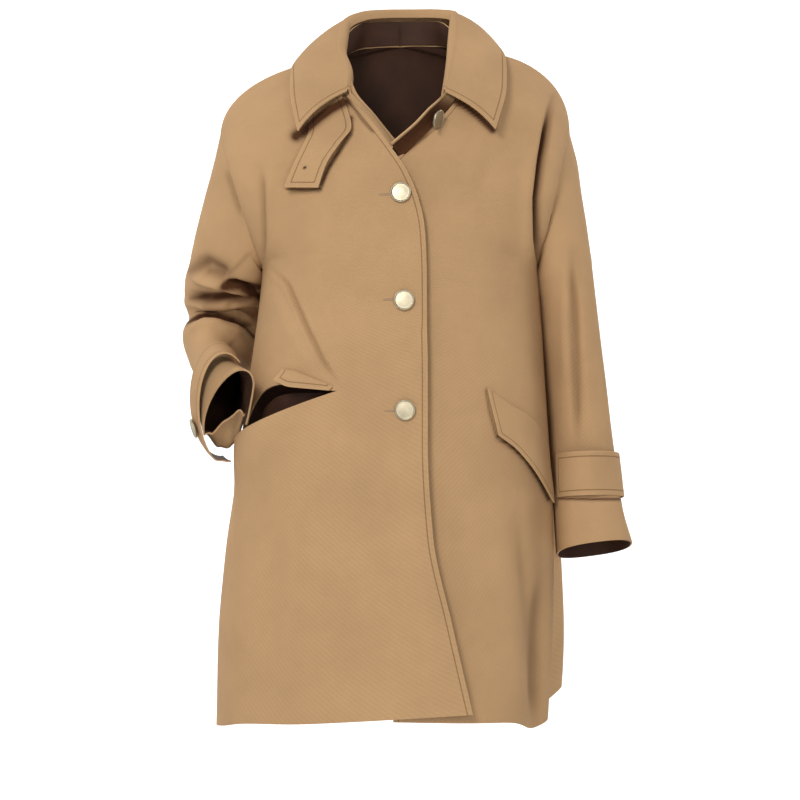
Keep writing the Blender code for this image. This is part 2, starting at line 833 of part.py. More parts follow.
def main():
    clear_scene()
    front_right_cloth = new_material("front_right_cloth", CAMEL, 0.85)
    front_left_cloth = new_material("front_left_cloth", CAMEL, 0.85)
    back_cloth = new_material("back_cloth", CAMEL, 0.85)
    front_panel("front_right", "front_right", front_right_cloth)
    front_panel("front_left", "front_left", front_left_cloth)
    back_panel("back", back_cloth)
    sleeve("sleeve_right", "right", RIGHT_SLEEVE, new_material("sleeve_right_cloth", CAMEL, 0.85))
    sleeve("sleeve_left", "left", LEFT_SLEEVE, new_material("sleeve_left_cloth", CAMEL, 0.85))
    collar_fall(new_material("collar_fall_cloth", CAMEL, 0.85))
    collar_stand(new_material("collar_stand_cloth", CAMEL, 0.85))
    throat_tab(new_material("throat_tab_cloth", CAMEL, 0.85))
    laid_flap("pocket_flap_left", "front_left", FLAP_LEFT, FLAP_LEFT_OFF,
              new_material("flap_left_cloth", CAMEL, 0.85), False)
    laid_flap("pocket_flap_right", "front_right", FLAP_RIGHT, FLAP_RIGHT_OFF,
              new_material("flap_right_cloth", CAMEL, 0.85), True)
    strap("sleeve_strap_left", "left", STRAP_LEFT, *STRAP_LEFT_TURNS,
          new_material("strap_left_cloth", CAMEL, 0.85), STRAP_LEFT_GROW)
    strap("sleeve_strap_right", "right", STRAP_RIGHT, *STRAP_RIGHT_TURNS,
          new_material("strap_right_cloth", CAMEL, 0.85), STRAP_RIGHT_GROW)
    gold = new_material("button_metal", PALE_GOLD, 0.3, 1.0)
    for name, x, z in FRONT_BUTTONS:
        here, way = panel_spot("front_right", x, z)
        button(name, here + way * BUTTON_GAP, way, gold)
    button("button_collar", COLLAR_BUTTON, COLLAR_BUTTON_WAY, gold)
    strap_button("button_sleeve_left", STRAP_LEFT, STRAP_LEFT_BUTTON_TURN, STRAP_LEFT_GROW, gold)
    strap_button("button_sleeve_right", STRAP_RIGHT, STRAP_RIGHT_BUTTON_TURN, STRAP_RIGHT_GROW, gold)
    pocket_bag(new_material("pocket_bag_cloth", DARK_LINING, 0.6))


main()
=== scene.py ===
"""The looks of a worn swing coat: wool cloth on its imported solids, buttons, stitching and a studio."""

import math
from functools import lru_cache

import bmesh
import bpy
from bpy.props import FloatProperty, FloatVectorProperty, IntProperty, PointerProperty
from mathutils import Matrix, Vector, noise


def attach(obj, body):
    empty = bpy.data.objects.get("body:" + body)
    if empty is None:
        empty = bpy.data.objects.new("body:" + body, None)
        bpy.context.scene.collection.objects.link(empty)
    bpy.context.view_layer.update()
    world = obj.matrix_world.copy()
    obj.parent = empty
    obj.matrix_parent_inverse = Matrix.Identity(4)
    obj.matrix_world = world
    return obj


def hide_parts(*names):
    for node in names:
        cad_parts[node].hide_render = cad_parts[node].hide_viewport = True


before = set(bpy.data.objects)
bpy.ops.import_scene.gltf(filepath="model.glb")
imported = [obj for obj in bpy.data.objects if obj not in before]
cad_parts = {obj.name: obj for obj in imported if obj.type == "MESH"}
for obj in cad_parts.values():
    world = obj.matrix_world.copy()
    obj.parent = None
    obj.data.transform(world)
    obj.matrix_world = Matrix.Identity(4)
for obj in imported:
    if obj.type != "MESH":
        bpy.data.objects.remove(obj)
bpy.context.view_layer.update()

bl_info = {
    "name": "Swing coat looks",
    "version": (1, 0, 0),
    "blender": (4, 5, 0),
    "location": "3D View > Sidebar > Coat",
    "description": "Cloth, collar, pockets, straps and buttons of a swing coat, and its studio",
    "category": "Object",
}

# Tables are in millimetres, as the solids are. The front faces -Y and +X is the wearer's left.
MM = 0.001
MERGE = 1e-6
STEP = 1e-3
# The seams are drawn nearly closed; the solids below keep more.
SEAM_GAP = 0.15
# The left front lies this far behind the right one, up to this place across and down from this row.
UNDERLAP_DROP = 10.0
UNDERLAP_REACH = 0.45
UNDERLAP_TOP = 11

# The camera looks level along +Y from this far, at this height, with this width in view at the origin.
VIEW_BACK = 3200.0
VIEW_HEIGHT = -425.0
VIEW_WIDTH = 1000.0
SENSOR = 36.0

# The armholes are flat ovals.
# centre x, y, z, up x, y, z, front x, y, z
ARMHOLE = {
    "right": (-198, 6, -177, -27, 8, 85, -1, -62, 0),
    "left": (193, 6, -177, 20, 6, 86, -4, -61, 0),
}
UNDERARM_ROW = 7
LAST_ROW = 14

# One row a level, hem to shoulder. Rows to the underarm end on the side seam, rows above on the armhole.
# edge x, y, z, side x, y, z or armhole angle, squareness, how straight the depth and the drop run
RIGHT_FRONT = (
    (86, -186, -796, -229, 0, -830, 0.86, 0.0, 0.6),
    (62, -178, -692, -226, 0, -712, 0.86, 0.0, 0.6),
    (39, -168, -585, -217, 0, -612, 0.86, 0.0, 0.6),
    (33, -160, -478, -208, 0, -550, 0.86, 0.0, 0.5),
    (33, -154, -387, -200, 0, -494, 0.86, 0.0, 0.45),
    (32, -147, -325, -188, 0, -405, 0.87, 0.0, 0.4),
    (32, -141, -280, -178, 0, -325, 0.88, 0.0, 0.4),
    (31, -136, -240, 180, 0, 0, 0.90, 0.0, 0.4),
    (29, -132, -213, 150, 0, 0, 0.92, 0.05, 0.4),
    (22, -127, -182, 120, 0, 0, 0.94, 0.1, 0.4),
    (9, -121, -150, 90, 0, 0, 0.95, 0.2, 0.35),
    (-10, -116, -121, 60, 0, 0, 0.97, 0.3, 0.3),
    (-42, -103, -79, 36, 0, 0, 1.0, 0.4, 0.3),
    (-73, -70, -42, 18, 0, 0, 1.0, 0.5, 0.3),
    (-80, 8, 2, 0, 0, 0, 0.95, 0.6, 0.15),
)
LEFT_FRONT = (
    (-8, -186, -806, 172, 0, -812, 0.75, 0.0, 0.6),
    (-14, -177, -696, 180, 0, -706, 0.78, 0.0, 0.6),
    (-22, -166, -590, 185, 0, -606, 0.86, 0.0, 0.6),
    (-24, -158, -485, 186, 0, -530, 0.86, 0.0, 0.5),
    (-24, -152, -395, 184, 0, -462, 0.86, 0.0, 0.45),
    (-24, -146, -330, 180, 0, -390, 0.87, 0.0, 0.4),
    (-24, -141, -282, 176, 0, -322, 0.88, 0.0, 0.4),
    (-25, -136, -240, 180, 0, 0, 0.90, 0.0, 0.4),
    (-26, -132, -213, 150, 0, 0, 0.92, 0.05, 0.4),
    (-27, -127, -186, 120, 0, 0, 0.94, 0.1, 0.4),
    (-24, -121, -158, 90, 0, 0, 0.95, 0.2, 0.35),
    (2, -117, -126, 60, 0, 0, 0.97, 0.3, 0.3),
    (42, -106, -92, 36, 0, 0, 1.0, 0.4, 0.3),
    (76, -72, -42, 18, 0, 0, 0.96, 0.5, 0.1),
    (84, 8, 12, 0, 0, 0, 0.92, 0.6, 0.0),
)
# The same columns from the centre back outward, then round the back of the neck.
RIGHT_BACK = (
    (-6, 190, -818, -229, 0, -830, 0.84, 0.0, 0.5),
    (-4, 178, -705, -226, 0, -712, 0.84, 0.0, 0.5),
    (-2, 166, -605, -217, 0, -612, 0.84, 0.0, 0.5),
    (0, 155, -515, -208, 0, -550, 0.84, 0.0, 0.5),
    (0, 145, -440, -200, 0, -494, 0.84, 0.0, 0.5),
    (0, 136, -365, -188, 0, -405, 0.85, 0.0, 0.5),
    (0, 130, -305, -178, 0, -325, 0.86, 0.0, 0.5),
    (0, 126, -250, 180, 0, 0, 0.88, 0.0, 0.5),
    (0, 124, -205, 210, 0, 0, 0.90, 0.0, 0.5),
    (0, 120, -158, 240, 0, 0, 0.92, 0.05, 0.4),
    (0, 113, -105, 270, 0, 0, 0.94, 0.1, 0.3),
    (0, 99, -45, 300, 0, 0, 0.97, 0.2, 0.3),
    (0, 76, 28, 326, 0, 0, 1.0, 0.35, 0.3),
    (-46, 62, 24, 343, 0, 0, 1.0, 0.5, 0.3),
    (-80, 8, 2, 360, 0, 0, 0.95, 0.6, 0.15),
)
LEFT_BACK = (
    (-6, 190, -818, 174, 0, -812, 0.84, 0.0, 0.5),
    (-4, 178, -705, 180, 0, -706, 0.84, 0.0, 0.5),
    (-2, 166, -605, 185, 0, -606, 0.84, 0.0, 0.5),
    (0, 155, -515, 186, 0, -530, 0.84, 0.0, 0.5),
    (0, 145, -440, 184, 0, -462, 0.84, 0.0, 0.5),
    (0, 136, -365, 180, 0, -390, 0.85, 0.0, 0.5),
    (0, 130, -305, 176, 0, -322, 0.86, 0.0, 0.5),
    (0, 126, -250, 180, 0, 0, 0.88, 0.0, 0.5),
    (0, 124, -205, 210, 0, 0, 0.90, 0.0, 0.5),
    (0, 120, -158, 240, 0, 0, 0.92, 0.05, 0.4),
    (0, 113, -105, 270, 0, 0, 0.94, 0.1, 0.3),
    (0, 99, -45, 300, 0, 0, 0.97, 0.2, 0.3),
    (0, 76, 28, 326, 0, 0, 1.0, 0.35, 0.3),
    (48, 62, 27, 343, 0, 0, 0.96, 0.5, 0.1),
    (84, 8, 12, 360, 0, 0, 0.92, 0.6, 0.0),
)
PANELS = {
    "front_right": (RIGHT_FRONT, "right"),
    "front_left": (LEFT_FRONT, "left"),
    "back_right": (RIGHT_BACK, "right"),
    "back_left": (LEFT_BACK, "left"),
}

# Folds that run up a panel: a ridge is positive, a trough negative.
# panel, place across at the hem and at the top, half width across, height at the hem, fades out at row
PANEL_FOLDS = (
    ("front_left", 0.86, 0.86, 0.10, 13, 5.0),
    ("back_left", 0.80, 0.84, 0.13, 44, 4.2),
    ("back_left", 0.42, 0.36, 0.16, 14, 7.0),
    ("back_right", 0.40, 0.34, 0.16, 15, 7.0),
    ("back_right", 0.74, 0.70, 0.14, 12, 6.0),
    ("front_right", 0.62, 0.60, 0.18, 7, 4.0),
)
FOLD_SHARPNESS = 1.6
HEM_LIFT = 0.5
# The left front's hem sags near its side: place across, reach across, drop, rows up to nothing.
HEM_SAG = (0.78, 0.18, 14.0, 3.0)

# The gaping pocket.
POCKET_ROW = 4
POCKET_START = 0.27
POCKET_END = 0.90
LIP_OUT = 20.0
LIP_DROP = 4.0
BROW_IN = 9.0
BROW_LIFT = 42.0
GAPE_LEAN = 1.4
GAPE_REACH = 0.9

# Sleeve rings from the armhole to the cuff.
# outer x, y, z, inner x, y, z, from the middle to the front x, y, z
LEFT_SLEEVE = (
    (222, 13, -126, 174.5, 6, -266, -10, -64, 0),
    (228, 13, -165, 170, 10, -272, -6, -67, 0),
    (234, 12, -205, 169, 13, -279, -3, -69, 0),
    (239, 10, -245, 169, 18, -288, -2, -69, 2),
    (243, 8, -285, 171, 20, -305, 0, -67, 4),
    (248, 4, -330, 174, 22, -338, 0, -65, 5),
    (256, -2, -400, 180, 20, -402, 0, -62, 6),
    (263, -7, -460, 185, 14, -463, 0, -59, 6),
    (270, -12, -515, 188, 0, -520, 0, -56, 6),
    (276, -17, -560, 191, -20, -568, 0, -54, 9),
    (288, -22, -604, 194, -25, -616, 0, -53, 12),
)
RIGHT_SLEEVE = (
    (-236, 22, -134, -173.5, 6, -265, 2, -63, -3),
    (-248, 34, -174, -168, 16, -269, 2, -64, -9),
    (-259, 50, -212, -167, 30, -274, 2, -64, -17),
    (-268, 70, -245, -169, 46, -281, 0, -62, -23),
    (-276, 88, -272, -166, 64, -290, 0, -62, -23),
    (-278, 100, -296, -164, 82, -300, 0, -64, -11),
    (-272, 103, -320, -164, 92, -315, 0, -61, 11),
    (-279, 94, -348, -168, 89, -336, -4, -53, 33),
    (-270, 72, -376, -184, 64, -352, -12, -42, 40),
    (-257, 44, -402, -200, 30, -372, -18, -34, 36),
    (-248, 8, -430, -204, -20, -376, -18, -26, 28),
    (-242, -24, -456, -200, -62, -382, -20, -14, 22),
    (-236, -56, -478, -182, -106, -390, -19, -2, 16),
)

# The collar from the right front end round the back to the left.
# roll x, y, z, outer edge x, y, z, bow outward
COLLAR_FALL = (
    (-66, -92, -50, -124, -104, -100, 7),
    (-66, -64, -22, -134, -68, -50, 7),
    (-78, -26, 14, -136, -14, -14, 8),
    (-75, 26, 50, -118, 58, 9, 9),
    (-42, 62, 68, -68, 95, -6, 9),
    (0, 74, 71, 0, 103, -7, 9),
    (42, 64, 70, 68, 95, -6, 9),
    (74, 30, 62, 120, 58, 22, 9),
    (70, -24, 18, 132, -14, 0, 8),
    (63, -64, -20, 130, -68, -44, 7),
    (56, -98, -51, 116, -98, -97, 6),
)
# Across the roll, from inside the neck over to the fall: inward, up.
ROLL_SECTION = ((12.5, -9.0), (11.5, -2.0), (8.0, 2.6), (3.6, 3.0))

# top x, y, z, from the right front end round the back to the left
STAND_TOP = (
    (-4, -106, -112),
    (-27, -90, -82),
    (-52, -80, -47),
    (-72, -14, 20),
    (-47, 50, 60),
    (0, 68, 64),
    (47, 52, 62),
    (67, -14, 29),
    (54, -84, -43),
    (27, -126, -84),
    (-10, -125, -117),
)
SIDE_NECK_ROW = 14
STAND_END_ROW = 11
BACK_NECK_ROW = 12
STAND_RISE = 1.4
STAND_UNDER_ROLL = 0.16

# inner edge x, z, outer edge x, z, how far each edge stands off the front
THROAT_TAB = (
    (-72, -54, -112, -56, 3.0, 3.0),
    (-62, -76, -110, -80, 3.5, 3.0),
    (-57, -97, -109, -100, 6.0, 3.0),
    (-70, -118, -116, -120, 8.0, 3.5),
    (-86, -142, -126, -144, 6.0, 6.0),
    (-96, -171, -135, -170, 4.0, 9.0),
)

# The left pocket flap. top x, z, bottom x, z, how far the bottom stands off
FLAP_LEFT = (
    (104, -411, 115, -468, 7),
    (128, -428, 134, -484, 10),
    (152, -442, 152, -506, 11),
    (170, -460, 168, -528, 9),
    (181, -486, 184, -552, 7),
)
# The right flap, tucked into the mouth. upper x, z, lower x, z, how far it stands off
FLAP_RIGHT = (
    (-80, -409, -84, -414, 4),
    (-104, -399, -108, -412, 6),
    (-128, -390, -130, -410, 9),
    (-142, -388, -146, -402, 10),
)

# Straps round the cuffs, as rings like a sleeve's.
STRAP_LEFT = (
    (272, -9, -492, 188, -14, -494, 0, -61, 6),
    (275, -11, -518, 188, -16, -520, 0, -60, 6),
    (278, -13, -546, 189, -18, -548, 0, -59, 6),
)
STRAP_RIGHT = (
    (-240, 0, -490, -209, -38, -360, -32, -26, 30),
    (-234, -22, -496, -206, -60, -366, -32, -20, 30),
    (-227, -44, -501, -199, -86, -373, -31, -12, 28),
)
STRAPS = {"left": STRAP_LEFT, "right": STRAP_RIGHT}
STRAP_TURNS = {"left": (-60, 152), "right": (-30, 190)}
STRAP_GROW = {"left": 1.2, "right": 0.0}
STRAP_BUTTON_TURN = {"left": -35, "right": 42}
STRAP_BUTTON_GAP = 0.8

# The bag behind the gaping pocket: how far down and how far in from the front.
POCKET_BAG = (
    (-2, 3.9),
    (35, 4.4),
    (75, 5.5),
    (104, 7.0),
    (112, 11.0),
    (104, 15.5),
    (75, 18.0),
    (35, 20.0),
    (0, 20.0),
    (-34, 16.0),
)
BAG_ROW_DROP = 85.0

BUTTON_RADIUS = 12.3
BUTTON_GAP = 0.5
# The front buttons lie on the right front, at x, z.
FRONT_BUTTONS = (
    ("button_front_1", 1, -176),
    ("button_front_2", 5, -306),
    ("button_front_3", 6, -437),
)
COLLAR_BUTTON = (44.4, -116.7, -87.1)
COLLAR_BUTTON_WAY = (0.86, -0.42, -0.3)

# Creases pressed or pulled into each piece, as lines on the plane the camera squares up to.
# line of x, z, half width, height out of the cloth
CREASES = {
    "front_right": (
        (((-80, -406), (-101, -376), (-118, -341), (-132, -310), (-146, -282), (-166, -266)), 2.6, 2.0),
        (((-75, -406), (-96, -376), (-113, -341), (-127, -310), (-141, -280), (-160, -262)), 2.6, -3.4),
        (((-100, -404), (-116, -372), (-136, -336), (-152, -306), (-166, -280)), 12.0, 2.0),
        (((-173, -132), (-172, -170), (-171, -215), (-171, -262)), 4.0, -3.2),
        (((-160, -138), (-158, -180), (-158, -225), (-162, -262)), 9.0, 2.2),
        (((-60, -470), (-78, -560), (-84, -660), (-82, -790)), 34.0, -3.4),
        (((-150, -560), (-164, -650), (-168, -760), (-168, -860)), 26.0, -5.0),
        (((10, -480), (14, -580), (30, -690), (44, -800)), 20.0, 2.6),
        (((-110, -500), (-124, -600), (-130, -720), (-130, -840)), 22.0, 3.6),
        (((-20, -215), (-60, -226), (-110, -232)), 16.0, 1.4),
    ),
    "front_left": (
        (((192, -46), (184, -84), (177, -122), (171, -172), (172, -225), (177, -266)), 4.6, -12.0),
        (((180, -56), (170, -95), (164, -135), (160, -180), (161, -230), (166, -275)), 8.0, 4.2),
        (((196, -110), (190, -150), (184, -200), (180, -250)), 8.0, 3.0),
        (((150, -60), (134, -90), (112, -130), (96, -170)), 12.0, -2.4),
        (((90, -205), (130, -222), (160, -250)), 14.0, -2.2),
        (((60, -470), (78, -570), (92, -700), (96, -830)), 30.0, -3.4),
        (((120, -560), (134, -650), (142, -740), (146, -840)), 16.0, 3.8),
        (((150, -570), (160, -660), (166, -760), (168, -850)), 9.0, -5.5),
        (((176, -640), (172, -700), (171, -780), (172, -830)), 6.0, -4.0),
    ),
    "sleeve_left": (
        (((216, -240), (218, -300), (219, -380), (221, -480)), 5.0, -4.6),
        (((206, -250), (206, -330), (207, -420)), 8.0, 2.8),
        (((228, -270), (232, -350), (236, -450)), 7.0, 2.2),
    ),
    "sleeve_right": (
        (((-218, -134), (-208, -162), (-196, -198)), 6.0, -3.6),
        (((-258, -258), (-242, -256), (-228, -264), (-214, -273)), 9.0, -8.0),
        (((-250, -264), (-236, -268), (-220, -275)), 5.0, -5.0),
        (((-262, -272), (-242, -279), (-219, -284), (-196, -293), (-182, -298)), 4.6, 8.0),
        (((-266, -294), (-248, -296), (-230, -297), (-208, -296), (-187, -297)), 5.6, -9.0),
        (((-178, -232), (-200, -254), (-219, -274)), 2.6, 3.0),
        (((-183, -236), (-204, -258), (-222, -276)), 2.6, -3.2),
        (((-222, -281), (-206, -281), (-190, -286), (-176, -292)), 4.6, -14.0),
        (((-220, -309), (-204, -304), (-187, -303)), 3.2, -3.0),
        (((-262, -327), (-246, -317), (-231, -317), (-218, -321), (-200, -326), (-187, -334),
          (-177, -350)), 3.2, -9.5),
        (((-260, -316), (-244, -308), (-228, -308), (-212, -312), (-196, -317), (-180, -330)), 4.6, 5.0),
        (((-266, -340), (-246, -329), (-226, -330), (-206, -338), (-192, -348)), 6.0, 4.4),
        (((-214, -350), (-200, -366), (-186, -384)), 7.0, -3.5),
    ),
}
# The same on the side that faces away from the camera.
BACK_CREASES = {
    "back": (
        (((-150, -120), (-120, -170), (-60, -200), (0, -206)), 16.0, -2.4),
        (((150, -120), (120, -168), (60, -198), (0, -206)), 16.0, -2.4),
        (((-168, -200), (-150, -250), (-140, -320)), 14.0, -4.0),
        (((166, -200), (150, -250), (142, -320)), 14.0, -4.0),
        (((-40, -330), (-48, -450), (-62, -600), (-76, -820)), 26.0, 6.0),
        (((40, -330), (50, -450), (66, -600), (78, -820)), 26.0, 5.5),
        (((0, -380), (-2, -520), (-4, -680), (-6, -830)), 22.0, -6.0),
        (((-110, -420), (-118, -560), (-128, -700), (-134, -830)), 20.0, -6.0),
        (((108, -420), (112, -560), (116, -700), (118, -830)), 18.0, -6.5),
    ),
    "sleeve_left": (
        (((206, -260), (210, -330), (218, -430)), 9.0, -3.0),
        (((240, -240), (222, -262), (200, -280)), 8.0, 2.5),
    ),
    "sleeve_right": (
        (((-262, -262), (-236, -276), (-206, -286)), 9.0, -5.0),
        (((-268, -300), (-240, -304), (-206, -312)), 9.0, 4.5),
        (((-266, -330), (-240, -338), (-214, -346)), 8.0, -4.5),
    ),
}
# Painted shade, where cloth lies in the shade of an edge close above it, as lines on the camera's plane.
# line of x, z, half width, share of full painted shade
SHADES = {
    "front_right": (
        (((-130, -95), (-116, -85), (-101, -72), (-86, -61), (-70, -54)), 6.5, 1.5),
        (((-69, -44), (-59, -58), (-48, -74), (-34, -90)), 1.8, 0.7),
        (((-61, -72), (-64, -92), (-77, -115), (-90, -136), (-99, -156)), 2.6, 1.2),
        (((-141, -161), (-120, -162), (-100, -161)), 2.0, 1.0),
    ),
    "throat_tab": (
        (((-116, -85), (-101, -72), (-86, -61), (-66, -50)), 6.0, 1.5),
    ),
    "front_left": (
        (((56, -45), (66, -50), (82, -58), (98, -70), (116, -87)), 4.2, 1.5),
        (((57, -54), (46, -74), (30, -94), (8, -112)), 3.6, 1.0),
        (((107, -411), (112, -440), (119, -466)), 1.6, 0.6),
        (((122, -471), (141, -484), (157, -499), (175, -526), (186, -549)), 3.0, 1.0),
    ),
    "sleeve_left": (
        (((198, -548), (240, -549), (281, -549)), 1.8, 1.0),
    ),
    "sleeve_right": (
        (((-262, -262), (-241, -250), (-222, -260)), 8.0, 0.55),
        (((-218, -281), (-196, -282), (-176, -284)), 4.4, 1.3),
        (((-194, -285), (-184, -291), (-174, -298)), 4.4, 1.2),
        (((-262, -298), (-240, -302), (-215, -300), (-188, -296)), 4.0, 0.5),
        (((-269, -330), (-252, -319), (-228, -317), (-208, -323), (-192, -335), (-180, -348)), 3.2, 0.9),
    ),
}
# A crease keeps this share of its height at its ends, and has all of it past this share of its length.
CREASE_END = 0.15
CREASE_RISE = 0.22
# Creases fade out in this share of the way across at a side seam, and from 1.5 to 15.5 mm off an armhole.
SIDE_FADE = 0.06
ARMHOLE_FADE = (1.5, 14.0)
# Troughs narrower than this get painted shade for the shade they lie in, full at this depth.
NARROW = 7.5
DEEPEST = 11.0
UNSTITCHED = 99.0
UNEVENNESS = 0.5
UNEVENNESS_SIZE = 70.0

# Where cloth is stitched near an edge, counted in from the edge.
EDGE_STITCH = 6.5
STITCH_HALF_WIDTH = 0.7
# Buttonholes, their bead's half length, half width and half height, and places as x, z.
BUTTONHOLE = (11.0, 1.3, 0.45)
BUTTONHOLES = (
    ("buttonhole_1", -15, -178),
    ("buttonhole_2", -10, -305),
    ("buttonhole_3", -8, -438),
)
# The eyelet in the throat tab: place across and along, radius of its stitched ring, radius of the thread.
EYELET = (0.6, 0.83, 2.1, 0.6)
EYELET_LIFT = 0.2
HOLE_BULGE = 0.3

# The right cuff is crushed: its near wall sags behind the rim and the rim stands up over it.
# turn in degrees, rise of the rim, sag behind the rim
CUFF_CRUSH = (
    (-150, -6, -4),
    (-115, -24, -22),
    (-90, 6, -30),
    (-66, 27, -28),
    (-38, 27, -20),
    (-5, 12, -7),
    (30, 0, 0),
)
CUFF_CRUSH_FROM = 0.80
CUFF_CRUSH_LOW = 0.93
# The tail of the right strap turns its inside to the front.
STRAP_TAIL_TURN = 6
STRAP_TAIL_RUN = 22
STRAP_TAIL_DROP = Vector((2, -3, 5))

# The hanging sleeve's section, 1 for an oval and less for a flatter front.
FLATNESS = 0.8
FLAT_FROM = 0.3

# The collar's ends stand off the fronts by this much at the outer edge, over this share of the way round.
COLLAR_LIFT = 9.0
COLLAR_LIFT_REACH = 0.28
# The stand's band on the left front is hollowed by this much.
STAND_HOLLOW = 5.0
STAND_CORNER_DROP = 8.0
# How much painted shade the stand's band on the left front gets.
STAND_SHADE = 1.0
# The share of the collar's piece that is its roll.
ROLL_SHARE = 0.24
# How much further the throat tab hangs off the front at its lower end.
TAB_LIFT = 6.0
TAB_CLEAR = 2.0
# The chest is eased this far above and below the underarm.
EASE_MIDDLE = -0.255
EASE_REACH = 0.085
EASE_STEPS = 90

# The cloth of each piece: flat width and length in metres, area where it isn't a rectangle, how it is held.
SHEETS = {
    "front_right": ((0.36, 0.86), 0.25, "hung"),
    "front_left": ((0.36, 0.86), 0.225, "hung"),
    "back": ((0.62, 0.88), 0.48, "hung"),
    "sleeve_left": ((0.34, 0.53), 0.135, "hung"),
    "sleeve_right": ((0.34, 0.55), 0.135, "hung"),
    "collar_fall": ((0.52, 0.105), None, "folded"),
    "collar_stand": ((0.50, 0.05), 0.015, "hung"),
    "throat_tab": ((0.052, 0.125), None, "hung"),
    "pocket_flap_left": ((0.12, 0.07), None, "hung"),
    "pocket_flap_right": ((0.075, 0.02), None, "hung"),
    "pocket_bag_right": ((0.16, 0.27), None, "hung"),
    "sleeve_strap_left": ((0.23, 0.055), 0.0115, "folded"),
    "sleeve_strap_right": ((0.20, 0.055), 0.0095, "folded"),
}
# The right front's pocket mouth is this far up its flat piece.
MOUTH_HEIGHT = 0.25
# Grid steps across and along the small pieces.
GRIDS = {
    "collar_fall": (200, 60),
    "collar_stand": (160, 18),
    "throat_tab": (36, 90),
    "pocket_flap": (80, 40),
    "pocket_bag": (40, 54),
    "sleeve_strap": (110, 26),
    "eyelet": (36, 10),
}
# The rounding of a cloth edge and the pocket lining's thickness, as shares of the wall.
EDGE_ROUND = 0.28
LINING_WALL = 0.6

# The studio, in metres: name, place, aim, size, share of the key light's power.
LIGHTS = (
    ("key", (-0.9, -2.6, 1.0), (0, 0, VIEW_HEIGHT * MM), 0.8, 1.0),
    ("fill", (0.7, -3.4, -0.3), (0, 0, VIEW_HEIGHT * MM), 1.4, 0.55),
    ("backdrop_left", (-1.6, 0.6, 1.2), (-0.6, 3.0, -0.4), 1.2, 1.25),
    ("backdrop_right", (1.6, 0.6, 1.2), (0.6, 3.0, -0.4), 1.2, 1.25),
)
FLOOR_WIDTH = 12.0
FLOOR_DEPTH = 9.0
FLOOR_FLAT_TO = 2.2
BACKDROP_STRETCH = 3.0
PAPER = (0.93, 0.93, 0.93)

# Grid steps, as shares of the fineness.
ROWS_BELOW_POCKET = 0.75
ROWS_ABOVE_POCKET = 1.4
BACK_COLUMNS = 0.8
BACK_ROWS = 2.1
SLEEVE_COLUMNS = 1.15
SLEEVE_ROWS = 2
SLEEVE_MIDDLES = 60

# How full the curves of the pocket's gape and the collar's bow are, and which way they open.
GAPE_ROUND = 0.8
GAPE_TURN = 1.3
BOW_ROUND = 0.8
BOW_UP = 60

# The search for a panel's point: tries, longest steps, last place across and down, and how near is enough.
SPOT_TRIES = 40
SPOT_STEPS = (0.1, 0.5)
SPOT_ENDS = (0.998, 13.9)
SPOT_NEAR = 0.01

# Where a change starts, and how far it takes to run its course.
STAND_SHADE_ALONG = (0.8, 0.06)
STAND_SHADE_DOWN = (2.0, 2.5)
STAND_TUCK = (1.2, 0.8)
STAND_HOLLOW_ALONG = (8, 1.2)
CUFF_CRUSH_FADE = 20
COLLAR_LIFT_RISE = 1.6
CREASE_REACH = 2.6

# The crushed cuff's rim moves sideways and forwards by these shares of its rise.
CUFF_CRUSH_SIDE = 0.2
CUFF_CRUSH_FORTH = 0.35
SLEEVE_GAP = 0.8
NECK_RUN = 0.03
BAG_INSET = 0.02
BAG_NARROWER = 0.05
BAG_TURN_ROW = 3
BUTTONHOLE_BLUNT = 0.5
STRAP_BUTTON_STEP = 2


def spline(rows, place):
    """The rows of numbers joined by a smooth curve, read at a place counted in rows."""
    last = len(rows) - 1
    place = min(max(place, 0.0), float(last))
    i = min(int(place), last - 1)
    t = place - i
    before = rows[max(i - 1, 0)]
    here = rows[i]
    after = rows[i + 1]
    beyond = rows[min(i + 2, last)]
    found = []
    for p, q, r, s in zip(before, here, after, beyond):
        start = slope(q - p, r - q) if i > 0 else r - q
        end = slope(r - q, s - r) if i + 2 <= last else r - q
        found.append(
            (2 * t**3 - 3 * t**2 + 1) * q
            + (t**3 - 2 * t**2 + t) * start
            + (3 * t**2 - 2 * t**3) * r
            + (t**3 - t**2) * end
        )
    return found


def slope(left, right):
    """The slope between two steps that never overshoots either."""
    if left * right <= 0:
        return 0.0
    return 2 * left * right / (left + right)


def smooth(t):
    t = min(max(t, 0.0), 1.0)
    return t * t * (3 - 2 * t)


def grown(value, course):
    """How far a change has run at this value, from 0 to 1. Its course is its start and its reach."""
    start, reach = course
    return smooth((value - start) / reach)


def ring_point(ring, degrees, grow=0.0, flatness=1.0):
    """A point of a ring: 0 is the outer side, 90 the front, 180 the inner side. Less than 1 is flatter."""
    half = (Vector(ring[0:3]) - Vector(ring[3:6])) / 2
    front = Vector(ring[6:9])
    turn = math.radians(degrees)
    reach = math.copysign(abs(math.cos(turn)) ** flatness, math.cos(turn))
    rise = math.copysign(abs(math.sin(turn)) ** flatness, math.sin(turn))
    half = half.normalized() * (half.length + grow)
    front = front.normalized() * (front.length + grow)
    return ring_middle(ring) + half * reach + front * rise


def ring_middle(ring):
    return (Vector(ring[0:3]) + Vector(ring[3:6])) / 2


@lru_cache(maxsize=None)
def armhole_ring(side):
    centre = Vector(ARMHOLE[side][0:3])
    up = Vector(ARMHOLE[side][3:6])
    return (*(centre + up), *(centre - up), *ARMHOLE[side][6:9])


def armhole_axis(side):
    """Square to the armhole, pointing away from the body."""
    axis = Vector(ARMHOLE[side][3:6]).cross(Vector(ARMHOLE[side][6:9]))
    if axis.x * ARMHOLE[side][0] < 0:
        axis = -axis
    return axis.normalized()


